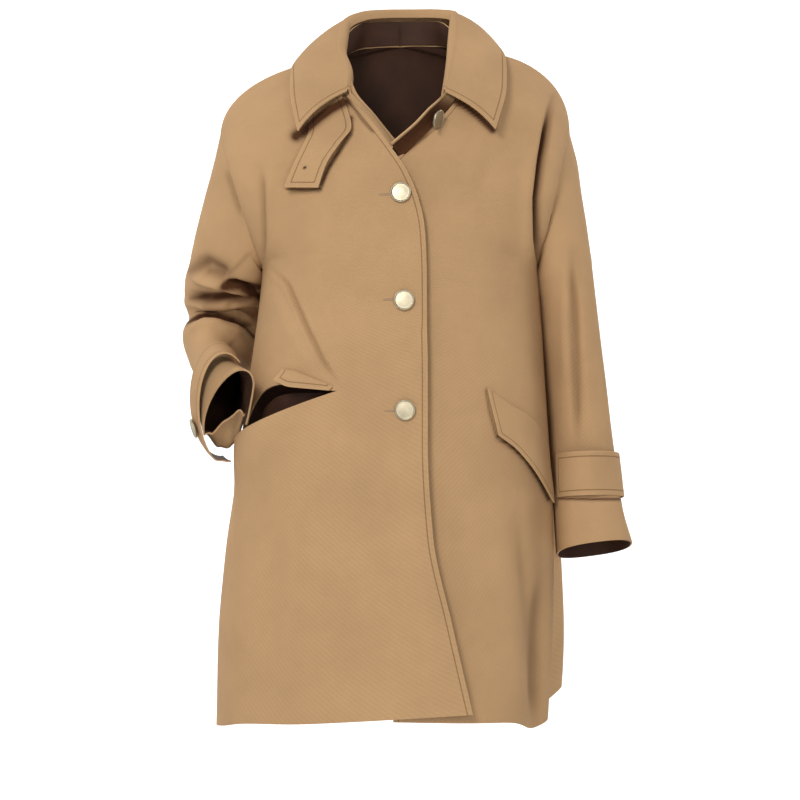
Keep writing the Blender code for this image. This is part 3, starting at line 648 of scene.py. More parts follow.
@lru_cache(maxsize=None)
def panel_row(panel, v):
    """A panel's row at this height: its spline's numbers, and its end on the side seam or the armhole."""
    rows, side = PANELS[panel]
    if v >= UNDERARM_ROW:
        angle = spline([(r[3],) for r in rows[UNDERARM_ROW:]], v - UNDERARM_ROW)[0]
        end = ring_point(armhole_ring(side), angle)
    else:
        seam = [r[3:6] for r in rows[:UNDERARM_ROW]]
        seam.append(tuple(ring_point(armhole_ring(side), 180)))
        end = Vector(spline(seam, v))
    return spline(rows, v), end


def fold_height(panel, u, v):
    height = 0.0
    for name, low, high, width, size, top in PANEL_FOLDS:
        if name != panel or v >= top:
            continue
        share = v / top
        away = (u - low - (high - low) * share) / width
        height += size * (1 - smooth(share)) * math.exp(-away * away * FOLD_SHARPNESS)
    return height


def panel_point(panel, u, v):
    """A point of a body panel: u from the front edge or centre back to the side, v in rows from the hem."""
    (ex, ey, ez, _, _, _, square, flat_y, flat_z), end = panel_row(panel, v)
    turn = math.pi / 2 * u
    across = math.sin(turn) ** square
    bend = 1 - max(math.cos(turn), 0.0) ** square
    x = ex + (end.x - ex) * across
    y = ey + (end.y - ey) * (flat_y * across + (1 - flat_y) * bend)
    z = ez + (end.z - ez) * (flat_z * across + (1 - flat_z) * bend)
    point = Vector((x, y, z))
    lift = fold_height(panel, u, v)
    if lift:
        point += Vector((x, y, 0)).normalized() * lift
        point.z += HEM_LIFT * lift
    return point


def pocket_gape(u):
    share = (u - POCKET_START) / (POCKET_END - POCKET_START)
    if share <= 0 or share >= 1:
        return 0.0
    return math.sin(math.pi * share**GAPE_LEAN) ** GAPE_ROUND


def right_front_point(u, v, above=False):
    """The right front, pushed apart at the pocket mouth."""
    point = panel_point("front_right", u, v)
    out = Vector((point.x, point.y * GAPE_TURN, 0)).normalized()
    near = pocket_gape(u) * math.exp(-(((v - POCKET_ROW) / GAPE_REACH) ** 2))
    if above:
        point -= out * BROW_IN * near
        point.z += BROW_LIFT * near
    else:
        point += out * LIP_OUT * near
        point.z -= LIP_DROP * near
    return point


def seam_shift(u, v):
    """Half the seam's gap, for the points on the side and shoulder seams."""
    if v >= LAST_ROW or (u >= 1 and v < UNDERARM_ROW):
        return SEAM_GAP / 2
    return 0.0


def under_way(u, v):
    """The left front lies under the right one near its edge."""
    drop = UNDERLAP_DROP * (1 - smooth(u / UNDERLAP_REACH)) * (1 - smooth(v - UNDERLAP_TOP))
    return Vector((0, drop, 0))


def collar_fall_point(s, t):
    rx, ry, rz, fx, fy, fz, bow = spline(COLLAR_FALL, s)
    roll = Vector((rx, ry, rz))
    point = roll.lerp(Vector((fx, fy, fz)), t)
    out = Vector((point.x, point.y, BOW_UP)).normalized()
    return point + out * bow * math.sin(math.pi * t) ** BOW_ROUND


def neck_point(k):
    """A point of the neck seam and the way the cloth runs from it: 0 at the right front, 10 at the left."""
    reach = SIDE_NECK_ROW - STAND_END_ROW
    middle = reach + SIDE_NECK_ROW - BACK_NECK_ROW
    if k <= reach:
        panel = "front_right"
        v = STAND_END_ROW + k
    elif k <= middle:
        panel = "back_right"
        v = SIDE_NECK_ROW - (k - reach)
    elif k <= 2 * middle - reach:
        panel = "back_left"
        v = BACK_NECK_ROW + (k - middle)
    else:
        panel = "front_left"
        v = SIDE_NECK_ROW - (k - 2 * middle + reach)
    here = panel_point(panel, 0.0, v)
    run = panel_point(panel, NECK_RUN, v) - here
    if panel == "front_left":
        here += under_way(0.0, v)
    return here, run.normalized()


def cuff_crush(turn, v):
    """How the crushed cuff of the right sleeve moves a point."""
    turn = (turn + 180) % 360 - 180
    turns = [row[0] for row in CUFF_CRUSH]
    if turn <= turns[0] or turn >= turns[-1]:
        return Vector()
    i = max(k for k in range(len(turns) - 1) if turns[k] <= turn)
    share = smooth((turn - turns[i]) / (turns[i + 1] - turns[i]))
    rise = CUFF_CRUSH[i][1] + (CUFF_CRUSH[i + 1][1] - CUFF_CRUSH[i][1]) * share
    sag = CUFF_CRUSH[i][2] + (CUFF_CRUSH[i + 1][2] - CUFF_CRUSH[i][2]) * share
    ends = smooth((turn - turns[0]) / CUFF_CRUSH_FADE) * smooth((turns[-1] - turn) / CUFF_CRUSH_FADE)
    low = smooth((v - CUFF_CRUSH_FROM) / (CUFF_CRUSH_LOW - CUFF_CRUSH_FROM))
    rim = smooth((v - CUFF_CRUSH_LOW) / (1 - CUFF_CRUSH_LOW))
    up = sag * low * (1 - rim) + rise * rim
    return Vector((CUFF_CRUSH_SIDE * rise * rim, -CUFF_CRUSH_FORTH * abs(rise) * rim, up)) * ends


def panel_steps(panel, u, v):
    """A point of a panel, and its short steps across and along."""
    here = panel_point(panel, u, v)
    return here, panel_point(panel, u + STEP, v) - here, panel_point(panel, u, v + STEP) - here


def panel_normal(panel, u, v):
    here, across, along = panel_steps(panel, u, v)
    normal = across.cross(along).normalized()
    if normal.dot(Vector((here.x, here.y * 2, 0))) < 0:
        normal = -normal
    return normal


def panel_spot(panel, x, z):
    """The point of a panel's surface at this x and z, and the surface's outward normal there."""
    u = 0.5
    v = 5.0
    most_u, most_v = SPOT_STEPS
    last_u, last_v = SPOT_ENDS
    for _ in range(SPOT_TRIES):
        here, du, dv = panel_steps(panel, u, v)
        span = du.x * dv.z - dv.x * du.z
        miss_x = x - here.x
        miss_z = z - here.z
        step_u = (miss_x * dv.z - miss_z * dv.x) / span * STEP
        step_v = (miss_z * du.x - miss_x * du.z) / span * STEP
        u = min(max(u + min(max(step_u, -most_u), most_u), 0.0), last_u)
        v = min(max(v + min(max(step_v, -most_v), most_v), 0.0), last_v)
        if abs(miss_x) + abs(miss_z) < SPOT_NEAR:
            break
    return panel_point(panel, u, v), panel_normal(panel, u, v)


def on_panel(panel, x, z, off):
    here, normal = panel_spot(panel, x, z)
    return here + normal * off


def line_distance(line, x, z):
    """How far a place lies from a line, and how far along the line its nearest point is, from 0 to 1."""
    best = 1e9
    along = 0.0
    run = 0.0
    for (ax, az), (bx, bz) in zip(line, line[1:]):
        dx = bx - ax
        dz = bz - az
        long = math.hypot(dx, dz)
        share = ((x - ax) * dx + (z - az) * dz) / (long * long)
        share = min(max(share, 0.0), 1.0)
        away = math.hypot(x - ax - dx * share, z - az - dz * share)
        if away < best:
            best = away
            along = run + share * long
        run += long
    return best, along / run


def crease_height(table, piece, x, z):
    """The height that the creases give the cloth here, and the painted shade that a narrow trough gives it,
    more the deeper it is.
    """
    total = 0.0
    deep = 0.0
    for line, width, height in table.get(piece, ()):
        away, along = line_distance(line, x, z)
        if away > CREASE_REACH * width:
            continue
        fade = smooth(along / CREASE_RISE) * smooth((1 - along) / CREASE_RISE)
        part = height * (CREASE_END + (1 - CREASE_END) * fade) * math.exp(-((away / width) ** 2))
        total += part
        if width < NARROW and part < 0:
            deep -= part / DEEPEST
    return total, deep


def cloth_relief(piece, point, normal):
    """How far creases and the cloth's own unevenness move a point out, in millimetres, and its painted
    shade.
    """
    near = VIEW_BACK / (VIEW_BACK + point.y)
    front = smooth(0.5 - normal.y)
    seen_x = point.x * near
    seen_z = VIEW_HEIGHT + (point.z - VIEW_HEIGHT) * near
    height = UNEVENNESS * noise.noise(point / UNEVENNESS_SIZE)
    deep = 0.0
    for table, share, x, z in (
        (CREASES, front, seen_x, seen_z),
        (BACK_CREASES, 1 - front, point.x, point.z),
    ):
        if share > 0:
            rise, low = crease_height(table, piece, x, z)
            height += share * rise
            deep += share * low
    for line, width, share in SHADES.get(piece, ()):
        away = line_distance(line, seen_x, seen_z)[0]
        deep += share * front * math.exp(-((away / width) ** 2))
    return height, min(deep, 1.0)


def body_middle(point):
    return Vector((0, 0, point.z))


def lay_grid(bm, columns, rows, place, cut, middle=body_middle, stitched="", start=(0.0, 0.0)):
    """Adds a flat grid and lays its points by place(u, v), facing away from middle.
    Its UV map is in metres, from start.
    Each point keeps how far it is from the stitched edges: start and end across, low and high along."""
    uv = bm.loops.layers.uv.verify()
    across = bm.verts.layers.float.get("across") or bm.verts.layers.float.new("across")
    edge = bm.verts.layers.float.get("edge_mm") or bm.verts.layers.float.new("edge_mm")
    # A layer for the painted shade, filled in later.
    bm.verts.layers.float.get("deep") or bm.verts.layers.float.new("deep")
    verts = bmesh.ops.create_grid(bm, x_segments=columns, y_segments=rows, size=0.5)["verts"]
    for face in {f for vert in verts for f in vert.link_faces}:
        for loop in face.loops:
            spot = loop.vert.co
            loop[uv].uv = (start[0] + (spot.x + 0.5) * cut[0], start[1] + (spot.y + 0.5) * cut[1])
    for vert in verts:
        u = round(vert.co.x + 0.5, 5)
        v = round(vert.co.y + 0.5, 5)
        vert[across] = u
        here = place(u, v)
        rims = {"start": (0.0, v), "end": (1.0, v), "low": (u, 0.0), "high": (u, 1.0)}
        reaches = [(here - place(*rims[side])).length for side in stitched.split()]
        vert[edge] = min(reaches, default=UNSTITCHED)
        vert.co = here * MM
    face_out(bm, {f for vert in verts for f in vert.link_faces}, middle)


def face_out(bm, faces, middle):
    """Turns the faces so that most of them look away from middle(point)."""
    bm.normal_update()
    total = 0.0
    for face in faces:
        centre = face.calc_center_median()
        total += face.normal.dot(centre - middle(centre)) * face.calc_area()
    if total < 0:
        bmesh.ops.reverse_faces(bm, faces=list(faces))
        bm.normal_update()


def ease_underarm(bm):
    """Smooths the cloth at the height of the underarm, where the seam turns into the armhole."""
    for _ in range(EASE_STEPS):
        near = [v for v in bm.verts if not v.is_boundary and abs(v.co.z - EASE_MIDDLE) < EASE_REACH]
        bmesh.ops.smooth_vert(bm, verts=near, factor=0.5, use_axis_x=True, use_axis_y=True, use_axis_z=True)
    bm.normal_update()


def press_relief(bm, piece, seam_fade):
    """Moves the cloth's points out or in by its creases, fading to nothing at the seams."""
    across = bm.verts.layers.float.get("across")
    shaded = bm.verts.layers.float.get("deep")
    moves = []
    for vert in bm.verts:
        keep = seam_fade(vert[across], vert.co / MM)
        height, deep = cloth_relief(piece, vert.co / MM, vert.normal)
        moves.append((vert, vert.normal * keep * height))
        # Keeps the painted shade for the wool's colour.
        vert[shaded] = deep
    for vert, move in moves:
        vert.co += move * MM


def side_fade(across, point):
    """Creases end at the side seams and the armholes' edges."""
    return smooth((1 - across) / SIDE_FADE)


def mesh_object(bm, name, *materials):
    """Makes an object with smooth faces from a finished bmesh, and adds it to the scene."""
    mesh = bpy.data.meshes.new(name)
    bm.to_mesh(mesh)
    bm.free()
    for material in materials:
        mesh.materials.append(material)
    for face in mesh.polygons:
        face.use_smooth = True
    piece = bpy.data.objects.new(name, mesh)
    bpy.context.scene.collection.objects.link(piece)
    return piece


def settle(piece, slot_name, *nodes):
    """Gives the piece its body and hides the solids it stands for. Its slot name is not used."""
    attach(piece, "root")
    if nodes:
        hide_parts(*nodes)


def cloth_piece(bm, node, wall, materials, name="", slot_name="camel_wool"):
    """Makes a solid's cloth: a thin shell with rounded edges, its inner face in the last material."""
    piece = mesh_object(bm, name or node + "_cloth", *materials)
    shell = piece.modifiers.new("Wall", "SOLIDIFY")
    shell.thickness = wall * MM
    shell.offset = -1
    shell.material_offset = len(materials) - 1
    shell.material_offset_rim = 0
    edge = piece.modifiers.new("Edge", "BEVEL")
    edge.width = EDGE_ROUND * wall * MM
    edge.segments = 2
    edge.limit_method = "ANGLE"
    edge.angle_limit = math.radians(60)
    settle(piece, slot_name, node)


def panel_piece(bm, node, sizes):
    """Eases a body panel at the underarm, presses its creases and makes its cloth."""
    ease_underarm(bm)
    press_relief(bm, node, side_fade)
    cloth_piece(bm, node, sizes.wall, (wool(sizes), lining(sizes)))


def new_nodes(name):
    """A material with its shader, and a function that adds a node and sets its inputs."""
    material = bpy.data.materials.new(name)
    material.use_nodes = True
    tree = material.node_tree
    shader = tree.nodes["Principled BSDF"]

    def add(kind, settings=None, **inputs):
        node = tree.nodes.new(kind)
        for key, value in (settings or {}).items():
            setattr(node, key, value)
        for key, value in inputs.items():
            node.inputs[key.replace("_", " ")].default_value = value
        return node

    return material, shader, add, tree.links.new


def ramp(add, link, source, low, high, first, second):
    node = add("ShaderNodeValToRGB")
    for element, place, colour in zip(node.color_ramp.elements, (low, high), (first, second)):
        element.position = place
        element.color = colour
    link(source, node.inputs["Fac"])
    return node.outputs["Color"]


def mix(add, link, base, other, factor=None, blend="MULTIPLY"):
    """Mixes a colour over another. The other is a node's output or a colour, the factor an output or 1."""
    node = add("ShaderNodeMix", {"data_type": "RGBA", "blend_type": blend})
    if factor is None:
        node.inputs["Factor"].default_value = 1.0
    else:
        link(factor, node.inputs["Factor"])
    link(base, node.inputs[6])
    if isinstance(other, tuple):
        node.inputs[7].default_value = other
    else:
        link(other, node.inputs[7])
    return node.outputs[2]


def spread(add, link, source, low, high, socket):
    """Drives a socket from low to high by a node's output."""
    node = add("ShaderNodeMapRange", To_Min=low, To_Max=high)
    link(source, node.inputs["Value"])
    link(node.outputs["Result"], socket)


def bump(add, link, height, strength, distance, below=None, invert=False):
    """A bump over the one below it, if there is one."""
    node = add("ShaderNodeBump", {"invert": invert}, Strength=strength, Distance=distance)
    link(height, node.inputs["Height"])
    if below:
        link(below, node.inputs["Normal"])
    return node.outputs["Normal"]


def pattern(add, link, kind, place, settings=None, **inputs):
    """A texture node at these coordinates, of which the Fac output is used."""
    node = add("ShaderNodeTex" + kind, settings, **inputs)
    link(place, node.inputs["Vector"])
    return node.outputs["Fac"]


def shade(colour, factor):
    return (colour[0] * factor, colour[1] * factor, colour[2] * factor, 1.0)


def wool(sizes):
    """Camel coat wool: a close diagonal twill under a short brushed nap, slightly uneven in colour, with
    painted shade in narrow creases, under edges and on the stand's band.
    """
    found = bpy.data.materials.get("wool_cloth")
    if found:
        return found
    material, shader, add, link = new_nodes("wool_cloth")
    colour = tuple(sizes.camel)
    place = add("ShaderNodeTexCoord").outputs["UV"]
    body = add("ShaderNodeTexCoord").outputs["Object"]
    twill_place = add("ShaderNodeMapping", Rotation=(0, 0, math.radians(58)))
    link(place, twill_place.inputs["Vector"])
    twill = pattern(add, link, "Wave", twill_place.outputs["Vector"], {"bands_direction": "X"},
                    Scale=1 / sizes.twill_pitch, Distortion=1.6, Detail=2.0, Detail_Scale=3.0)
    fibre = pattern(add, link, "Noise", place, Scale=1400.0, Detail=4.0, Roughness=0.7)
    cloud = pattern(add, link, "Noise", body, Scale=14.0, Detail=5.0, Roughness=0.6)
    soft = ramp(add, link, cloud, 0.3, 0.72, shade(colour, 0.93), shade(colour, 1.06))
    hair = ramp(add, link, fibre, 0.3, 0.7, (0.86, 0.85, 0.84, 1), (1.1, 1.09, 1.07, 1))
    lines = ramp(add, link, twill, 0.1, 0.9, (0.97, 0.965, 0.96, 1), (1.02, 1.02, 1.02, 1))
    cloth = mix(add, link, mix(add, link, soft, hair), lines)
    edge = add("ShaderNodeAttribute", {"attribute_name": "edge_mm"}).outputs["Fac"]
    away = add("ShaderNodeMath", {"operation": "COMPARE"})
    link(edge, away.inputs[0])
    away.inputs[1].default_value = EDGE_STITCH
    away.inputs[2].default_value = STITCH_HALF_WIDTH
    sewn = away.outputs[0]
    cloth = mix(add, link, cloth, (0.62, 0.57, 0.52, 1), sewn)
    rub = add("ShaderNodeMapRange", From_Min=0.0, From_Max=2.0, To_Min=0.35, To_Max=0.0)
    link(edge, rub.inputs["Value"])
    cloth = mix(add, link, cloth, shade(colour, 1.3), rub.outputs["Result"], "MIX")
    # Painted shade: the colour darkens towards deep brown by the attribute of painted shade, in narrow
    # creases, under the collar's and flaps' edges and on the stand's band.
    deep = add("ShaderNodeAttribute", {"attribute_name": "deep"}).outputs["Fac"]
    cloth = mix(add, link, cloth, (0.14, 0.08, 0.05, 1), deep)
    link(cloth, shader.inputs["Base Color"])
    spread(add, link, fibre, 0.78, 0.94, shader.inputs["Roughness"])
    nap = bump(add, link, fibre, 0.35, 0.00035)
    rib = bump(add, link, twill, 0.28, 0.00025, nap)
    link(bump(add, link, sewn, 0.8, 0.0006, rib, True), shader.inputs["Normal"])
    shader.inputs["Sheen Weight"].default_value = 0.08
    shader.inputs["Sheen Roughness"].default_value = 0.45
    shader.inputs["Sheen Tint"].default_value = shade(colour, 1.6)
    shader.inputs["Specular IOR Level"].default_value = 0.15
    return material


def lining(sizes):
    """Dark brown lining with a fine ribbed weave and a low satin gloss. Its dark colour is partly painted
    shade: it also gives the shade inside the cuffs and the neck.
    """
    found = bpy.data.materials.get("lining_satin")
    if found:
        return found
    material, shader, add, link = new_nodes("lining_satin")
    colour = tuple(sizes.lining)
    place = add("ShaderNodeTexCoord").outputs["UV"]
    weave = pattern(add, link, "Wave", place, {"bands_direction": "X"}, Scale=900.0, Distortion=0.6)
    cloud = pattern(add, link, "Noise", place, Scale=30.0, Detail=4.0)
    link(ramp(add, link, cloud, 0.3, 0.7, shade(colour, 0.8), shade(colour, 1.25)),
         shader.inputs["Base Color"])
    spread(add, link, cloud, 0.55, 0.7, shader.inputs["Roughness"])
    link(bump(add, link, weave, 0.25, 0.0002), shader.inputs["Normal"])
    shader.inputs["Specular IOR Level"].default_value = 0.2
    return material


def metal(sizes):
    """Pale gold button metal with a fine brushed grain and light tarnish."""
    found = bpy.data.materials.get("button_gold")
    if found:
        return found
    material, shader, add, link = new_nodes("button_gold")
    colour = tuple(sizes.gold)
    place = add("ShaderNodeTexCoord").outputs["Object"]
    grain = pattern(add, link, "Noise", place, Scale=900.0, Detail=3.0)
    cloud = pattern(add, link, "Noise", place, Scale=160.0, Detail=4.0)
    link(ramp(add, link, cloud, 0.3, 0.75, shade(colour, 0.86), shade(colour, 1.05)),
         shader.inputs["Base Color"])
    spread(add, link, grain, 0.36, 0.55, shader.inputs["Roughness"])
    link(bump(add, link, grain, 0.12, 0.0001), shader.inputs["Normal"])
    shader.inputs["Metallic"].default_value = 1.0
    return material


def thread(sizes):
    """Camel sewing thread, a little deeper than the cloth."""
    found = bpy.data.materials.get("camel_thread")
    if found:
        return found
    material, shader, add, link = new_nodes("camel_thread")
    colour = tuple(sizes.camel)
    place = add("ShaderNodeTexCoord").outputs["Object"]
    twist = pattern(add, link, "Wave", place, {"bands_direction": "DIAGONAL"}, Scale=700.0)
    link(ramp(add, link, twist, 0.0, 1.0, shade(colour, 0.5), shade(colour, 0.82)),
         shader.inputs["Base Color"])
    spread(add, link, twist, 0.5, 0.7, shader.inputs["Roughness"])
    return material


def paper():
    """Matt pale studio paper with a faint grain."""
    material, shader, add, link = new_nodes("studio_paper")
    grain = pattern(add, link, "Noise", add("ShaderNodeTexCoord").outputs["Object"], Scale=60.0, Detail=3.0)
    link(ramp(add, link, grain, 0.3, 0.7, shade(PAPER, 0.985), shade(PAPER, 1.0)),
         shader.inputs["Base Color"])
    shader.inputs["Roughness"].default_value = 0.95
    shader.inputs["Specular IOR Level"].default_value = 0.1
    return material


def coat_sizes(context):
    return context.scene.swing_coat


class CoatSizes(bpy.types.PropertyGroup):
    """Sizes and colours that a user of the coat may change."""

    wall: FloatProperty(name="Cloth wall", default=2.2, min=1.0, max=3.0,
                        description="Thickness of wool and lining together, in millimetres")
    trim_wall: FloatProperty(name="Trim wall", default=2.0, min=1.0, max=3.0,
                             description="Thickness of collar stand, tab, flaps and straps, in millimetres")
    fineness: IntProperty(name="Fineness", description="Grid steps across a front panel",
                          default=120, min=16, max=140)
    twill_pitch: FloatProperty(name="Twill pitch", description="Distance between twill lines, in metres",
                               default=0.011, min=0.002, max=0.05)
    camel: FloatVectorProperty(name="Wool", description="Colour of the outer cloth", subtype="COLOR",
                               default=(0.415, 0.257, 0.130), min=0, max=1)
    # Dark enough to serve also as painted shade inside the cuffs and the neck.
    lining: FloatVectorProperty(name="Lining", description="Colour of the lining", subtype="COLOR",
                                default=(0.045, 0.019, 0.010), min=0, max=1)
    gold: FloatVectorProperty(name="Buttons", description="Colour of the button metal", subtype="COLOR",
                              default=(0.42, 0.365, 0.255), min=0, max=1)
    key_power: FloatProperty(name="Key light", description="Power of the large front light",
                             subtype="POWER", default=51.0, min=0)
    ambient: FloatProperty(name="Ambient", description="Strength of the even light from all round",
                           default=0.36, min=0)
    floor_drop: FloatProperty(name="Floor", description="Height of the floor below the shoulders",
                              subtype="DISTANCE", default=-1.35)


class COAT_OT_stage(bpy.types.Operator):
    """Makes the floor, the lights and the camera"""

    bl_idname = "coat.stage"
    bl_label = "Studio"

    def execute(self, context):
        sizes = coat_sizes(context)
        self.floor(sizes)
        for name, place, target, size, share in LIGHTS:
            self.light(context, name, place, target, size, sizes.key_power * share)
        world = bpy.data.worlds.new("studio")
        world.use_nodes = True
        background = world.node_tree.nodes["Background"]
        background.inputs["Color"].default_value = (1, 1, 1, 1)
        background.inputs["Strength"].default_value = sizes.ambient
        context.scene.world = world
        context.scene.view_settings.view_transform = "Standard"
        camera = bpy.data.cameras.new("camera")
        camera.sensor_width = SENSOR
        camera.lens = SENSOR * VIEW_BACK / VIEW_WIDTH
        camera.clip_end = 40.0
        holder = bpy.data.objects.new("camera", camera)
        holder.location = (0, -VIEW_BACK * MM, VIEW_HEIGHT * MM)
        holder.rotation_euler = (math.pi / 2, 0, 0)
        context.scene.collection.objects.link(holder)
        context.scene.camera = holder
        return {"FINISHED"}

    def floor(self, sizes):
        """Paper that lies flat, turns up through a quarter circle and stands behind the coat."""
        bm = bmesh.new()
        bmesh.ops.create_grid(bm, x_segments=8, y_segments=40, size=0.5)
        for vert in bm.verts:
            run = vert.co.y * FLOOR_DEPTH
            rise = max(run - FLOOR_FLAT_TO, 0.0)
            turn = min(rise, math.pi / 2)
            up = 1 - math.cos(turn) + (rise - turn) * BACKDROP_STRETCH
            forth = min(run, FLOOR_FLAT_TO) + math.sin(turn)
            vert.co = Vector((vert.co.x * FLOOR_WIDTH, forth, sizes.floor_drop + up))
        return mesh_object(bm, "floor", paper())

    def light(self, context, name, place, target, size, power):
        lamp = bpy.data.lights.new(name, "AREA")
        lamp.shape = "SQUARE"
        lamp.size = size
        lamp.energy = power
        holder = bpy.data.objects.new(name, lamp)
        holder.location = place
        aim = Vector(target) - Vector(place)
        holder.rotation_euler = aim.to_track_quat("-Z", "Y").to_euler()
        context.scene.collection.objects.link(holder)


class COAT_OT_fronts(bpy.types.Operator):
    """Makes the two front panels, the right one with its gaping pocket mouth"""

    bl_idname = "coat.fronts"
    bl_label = "Fronts"

    def execute(self, context):
        sizes = coat_sizes(context)
        across = sizes.fineness
        low_rows = int(across * ROWS_BELOW_POCKET)
        high_rows = int(across * ROWS_ABOVE_POCKET)
        wide, long = SHEETS["front_right"][0]
        bm = bmesh.new()
        lay_grid(bm, across, low_rows, lambda u, v: self.right(u, v * POCKET_ROW, False),
                 (wide, MOUTH_HEIGHT), stitched="start")
        lay_grid(bm, across, high_rows,
                 lambda u, v: self.right(u, POCKET_ROW + v * (LAST_ROW - POCKET_ROW), True),
                 (wide, long - MOUTH_HEIGHT), stitched="start", start=(0.0, MOUTH_HEIGHT))
        bmesh.ops.remove_doubles(bm, verts=bm.verts, dist=MERGE)
        panel_piece(bm, "front_right", sizes)
        bm = bmesh.new()
        lay_grid(bm, across, low_rows + high_rows, lambda u, v: self.left(u, v * LAST_ROW),
                 SHEETS["front_left"][0], stitched="start")
        panel_piece(bm, "front_left", sizes)
        return {"FINISHED"}

    def right(self, u, v, above):
        point = right_front_point(u, v, above)
        point.y -= seam_shift(u, v)
        return point

    def left(self, u, v):
        point = panel_point("front_left", u, v) + under_way(u, v)
        point.y -= seam_shift(u, v)
        place, reach, drop, rows = HEM_SAG
        point.z -= drop * math.exp(-(((u - place) / reach) ** 2)) * smooth(1 - v / rows)
        return point


class COAT_OT_back(bpy.types.Operator):
    """Makes the back in one piece"""

    bl_idname = "coat.back"
    bl_label = "Back"

    def execute(self, context):
        sizes = coat_sizes(context)
        across = int(sizes.fineness * BACK_COLUMNS)
        wide, long = SHEETS["back"][0]
        bm = bmesh.new()
        for panel, way in (("back_right", -1), ("back_left", 1)):
            lay_grid(bm, across, int(across * BACK_ROWS), lambda u, v: self.point(panel, u, v * LAST_ROW),
                     (way * wide / 2, long), start=(wide / 2, 0.0))
        bmesh.ops.remove_doubles(bm, verts=bm.verts, dist=MERGE)
        panel_piece(bm, "back", sizes)
        return {"FINISHED"}

    def point(self, panel, u, v):
        point = panel_point(panel, u, v)
        point.y += seam_shift(u, v)
        return point


class COAT_OT_sleeves(bpy.types.Operator):
    """Makes the hanging left sleeve and the bent right sleeve"""

    bl_idname = "coat.sleeves"
    bl_label = "Sleeves"

    def execute(self, context):
        sizes = coat_sizes(context)
        for side, rings in (("left", LEFT_SLEEVE), ("right", RIGHT_SLEEVE)):
            rings = (armhole_ring(side),) + rings
            axis = armhole_axis(side)
            last = len(rings) - 1

            @lru_cache(maxsize=None)
            def ring_at(v):
                return tuple(spline(rings, v * last))

            def place(u, v):
                turn = 360 * (u % 1.0)
                ring = ring_at(v)
                point = ring_point(ring, turn)
                if side == "left":
                    point += (ring_point(ring, turn, flatness=FLATNESS) - point) * smooth(v / FLAT_FROM)
                if v <= 0:
                    point += axis * SEAM_GAP * SLEEVE_GAP
                if side == "right" and v > CUFF_CRUSH_FROM:
                    point += cuff_crush(turn, v)
                return point

            def middle(centre):
                places = (round(k / SLEEVE_MIDDLES, 5) for k in range(SLEEVE_MIDDLES + 1))
                middles = (ring_middle(ring_at(v)) * MM for v in places)
                return min(middles, key=lambda spot: (spot - centre).length)

            node = "sleeve_" + side
            bm = bmesh.new()
            lay_grid(bm, int(sizes.fineness * SLEEVE_COLUMNS), sizes.fineness * SLEEVE_ROWS, place,
                     SHEETS[node][0], middle)
            bmesh.ops.remove_doubles(bm, verts=bm.verts, dist=MERGE)
            hole = Vector(ARMHOLE[side][0:3])
            press_relief(bm, node, lambda u, point: grown(abs((point - hole).dot(axis)), ARMHOLE_FADE))
            cloth_piece(bm, node, sizes.wall, (wool(sizes), lining(sizes)))
        return {"FINISHED"}


class COAT_OT_collar(bpy.types.Operator):
    """Makes the collar's fall with its roll, and the stand below it"""

    bl_idname = "coat.collar"
    bl_label = "Collar"

    def execute(self, context):
        sizes = coat_sizes(context)
        bm = bmesh.new()
        lay_grid(bm, *GRIDS["collar_fall"], self.fall, SHEETS["collar_fall"][0], stitched="start end high")
        press_relief(bm, "collar_fall", lambda u, point: 1.0)
        cloth_piece(bm, "collar_fall", sizes.wall, (wool(sizes),))
        bm = bmesh.new()
        lay_grid(bm, *GRIDS["collar_stand"], self.stand, SHEETS["collar_stand"][0], stitched="high")
        self.shade_band(bm)
        # The stand's inner face is the dark lining, put there as painted shade for the inside of the neck.
        cloth_piece(bm, "collar_stand", sizes.trim_wall, (wool(sizes), lining(sizes)))
        return {"FINISHED"}

    def shade_band(self, bm):
        """Paints shade on the band on the left front, where it hangs in the collar's shade, all but its top
        edge.
        """
        across = bm.verts.layers.float.get("across")
        edge = bm.verts.layers.float.get("edge_mm")
        shaded = bm.verts.layers.float.get("deep")
        for vert in bm.verts:
            along = grown(vert[across], STAND_SHADE_ALONG)
            vert[shaded] = STAND_SHADE * along * grown(vert[edge], STAND_SHADE_DOWN)

    def fall(self, u, v):
        """The roll takes the first part of the way across, the fall the rest."""
        s = 10 * u
        if v >= ROLL_SHARE:
            share = (v - ROLL_SHARE) / (1 - ROLL_SHARE)
            near = smooth(1 - min(u, 1 - u) / COLLAR_LIFT_REACH)
            lift = COLLAR_LIFT * near * smooth(share * COLLAR_LIFT_RISE)
            return collar_fall_point(s, share) + Vector((0, -lift, 0))
        roll = collar_fall_point(s, 0.0)
        inward = -Vector((roll.x, roll.y, 0)).normalized()
        section = ROLL_SECTION + ((0.0, 0.0),)
        step, up = spline(section, v / ROLL_SHARE * (len(section) - 1))
        return roll + inward * step + Vector((0, 0, up))

    def stand(self, u, v):
        k = 10 * u
        seam, run = neck_point(k)
        top = Vector(spline(STAND_TOP, k))
        under = STAND_UNDER_ROLL * grown(min(k, 10 - k), STAND_TUCK)
        seam -= run * STAND_RISE
        seam.z -= STAND_CORNER_DROP * smooth(k - 9)
        share = v * (1 - under)
        hollow = STAND_HOLLOW * grown(k, STAND_HOLLOW_ALONG) * math.sin(math.pi * v)
        return seam.lerp(top, share) + Vector((0, hollow, 0))


def tab_point(u, v):
    ix, iz, ox, oz, near, far = spline(THROAT_TAB, v * (len(THROAT_TAB) - 1))
    off = near + (far - near) * u + TAB_CLEAR + TAB_LIFT * smooth(v)
    return on_panel("front_right", ix + (ox - ix) * u, iz + (oz - iz) * u, off)


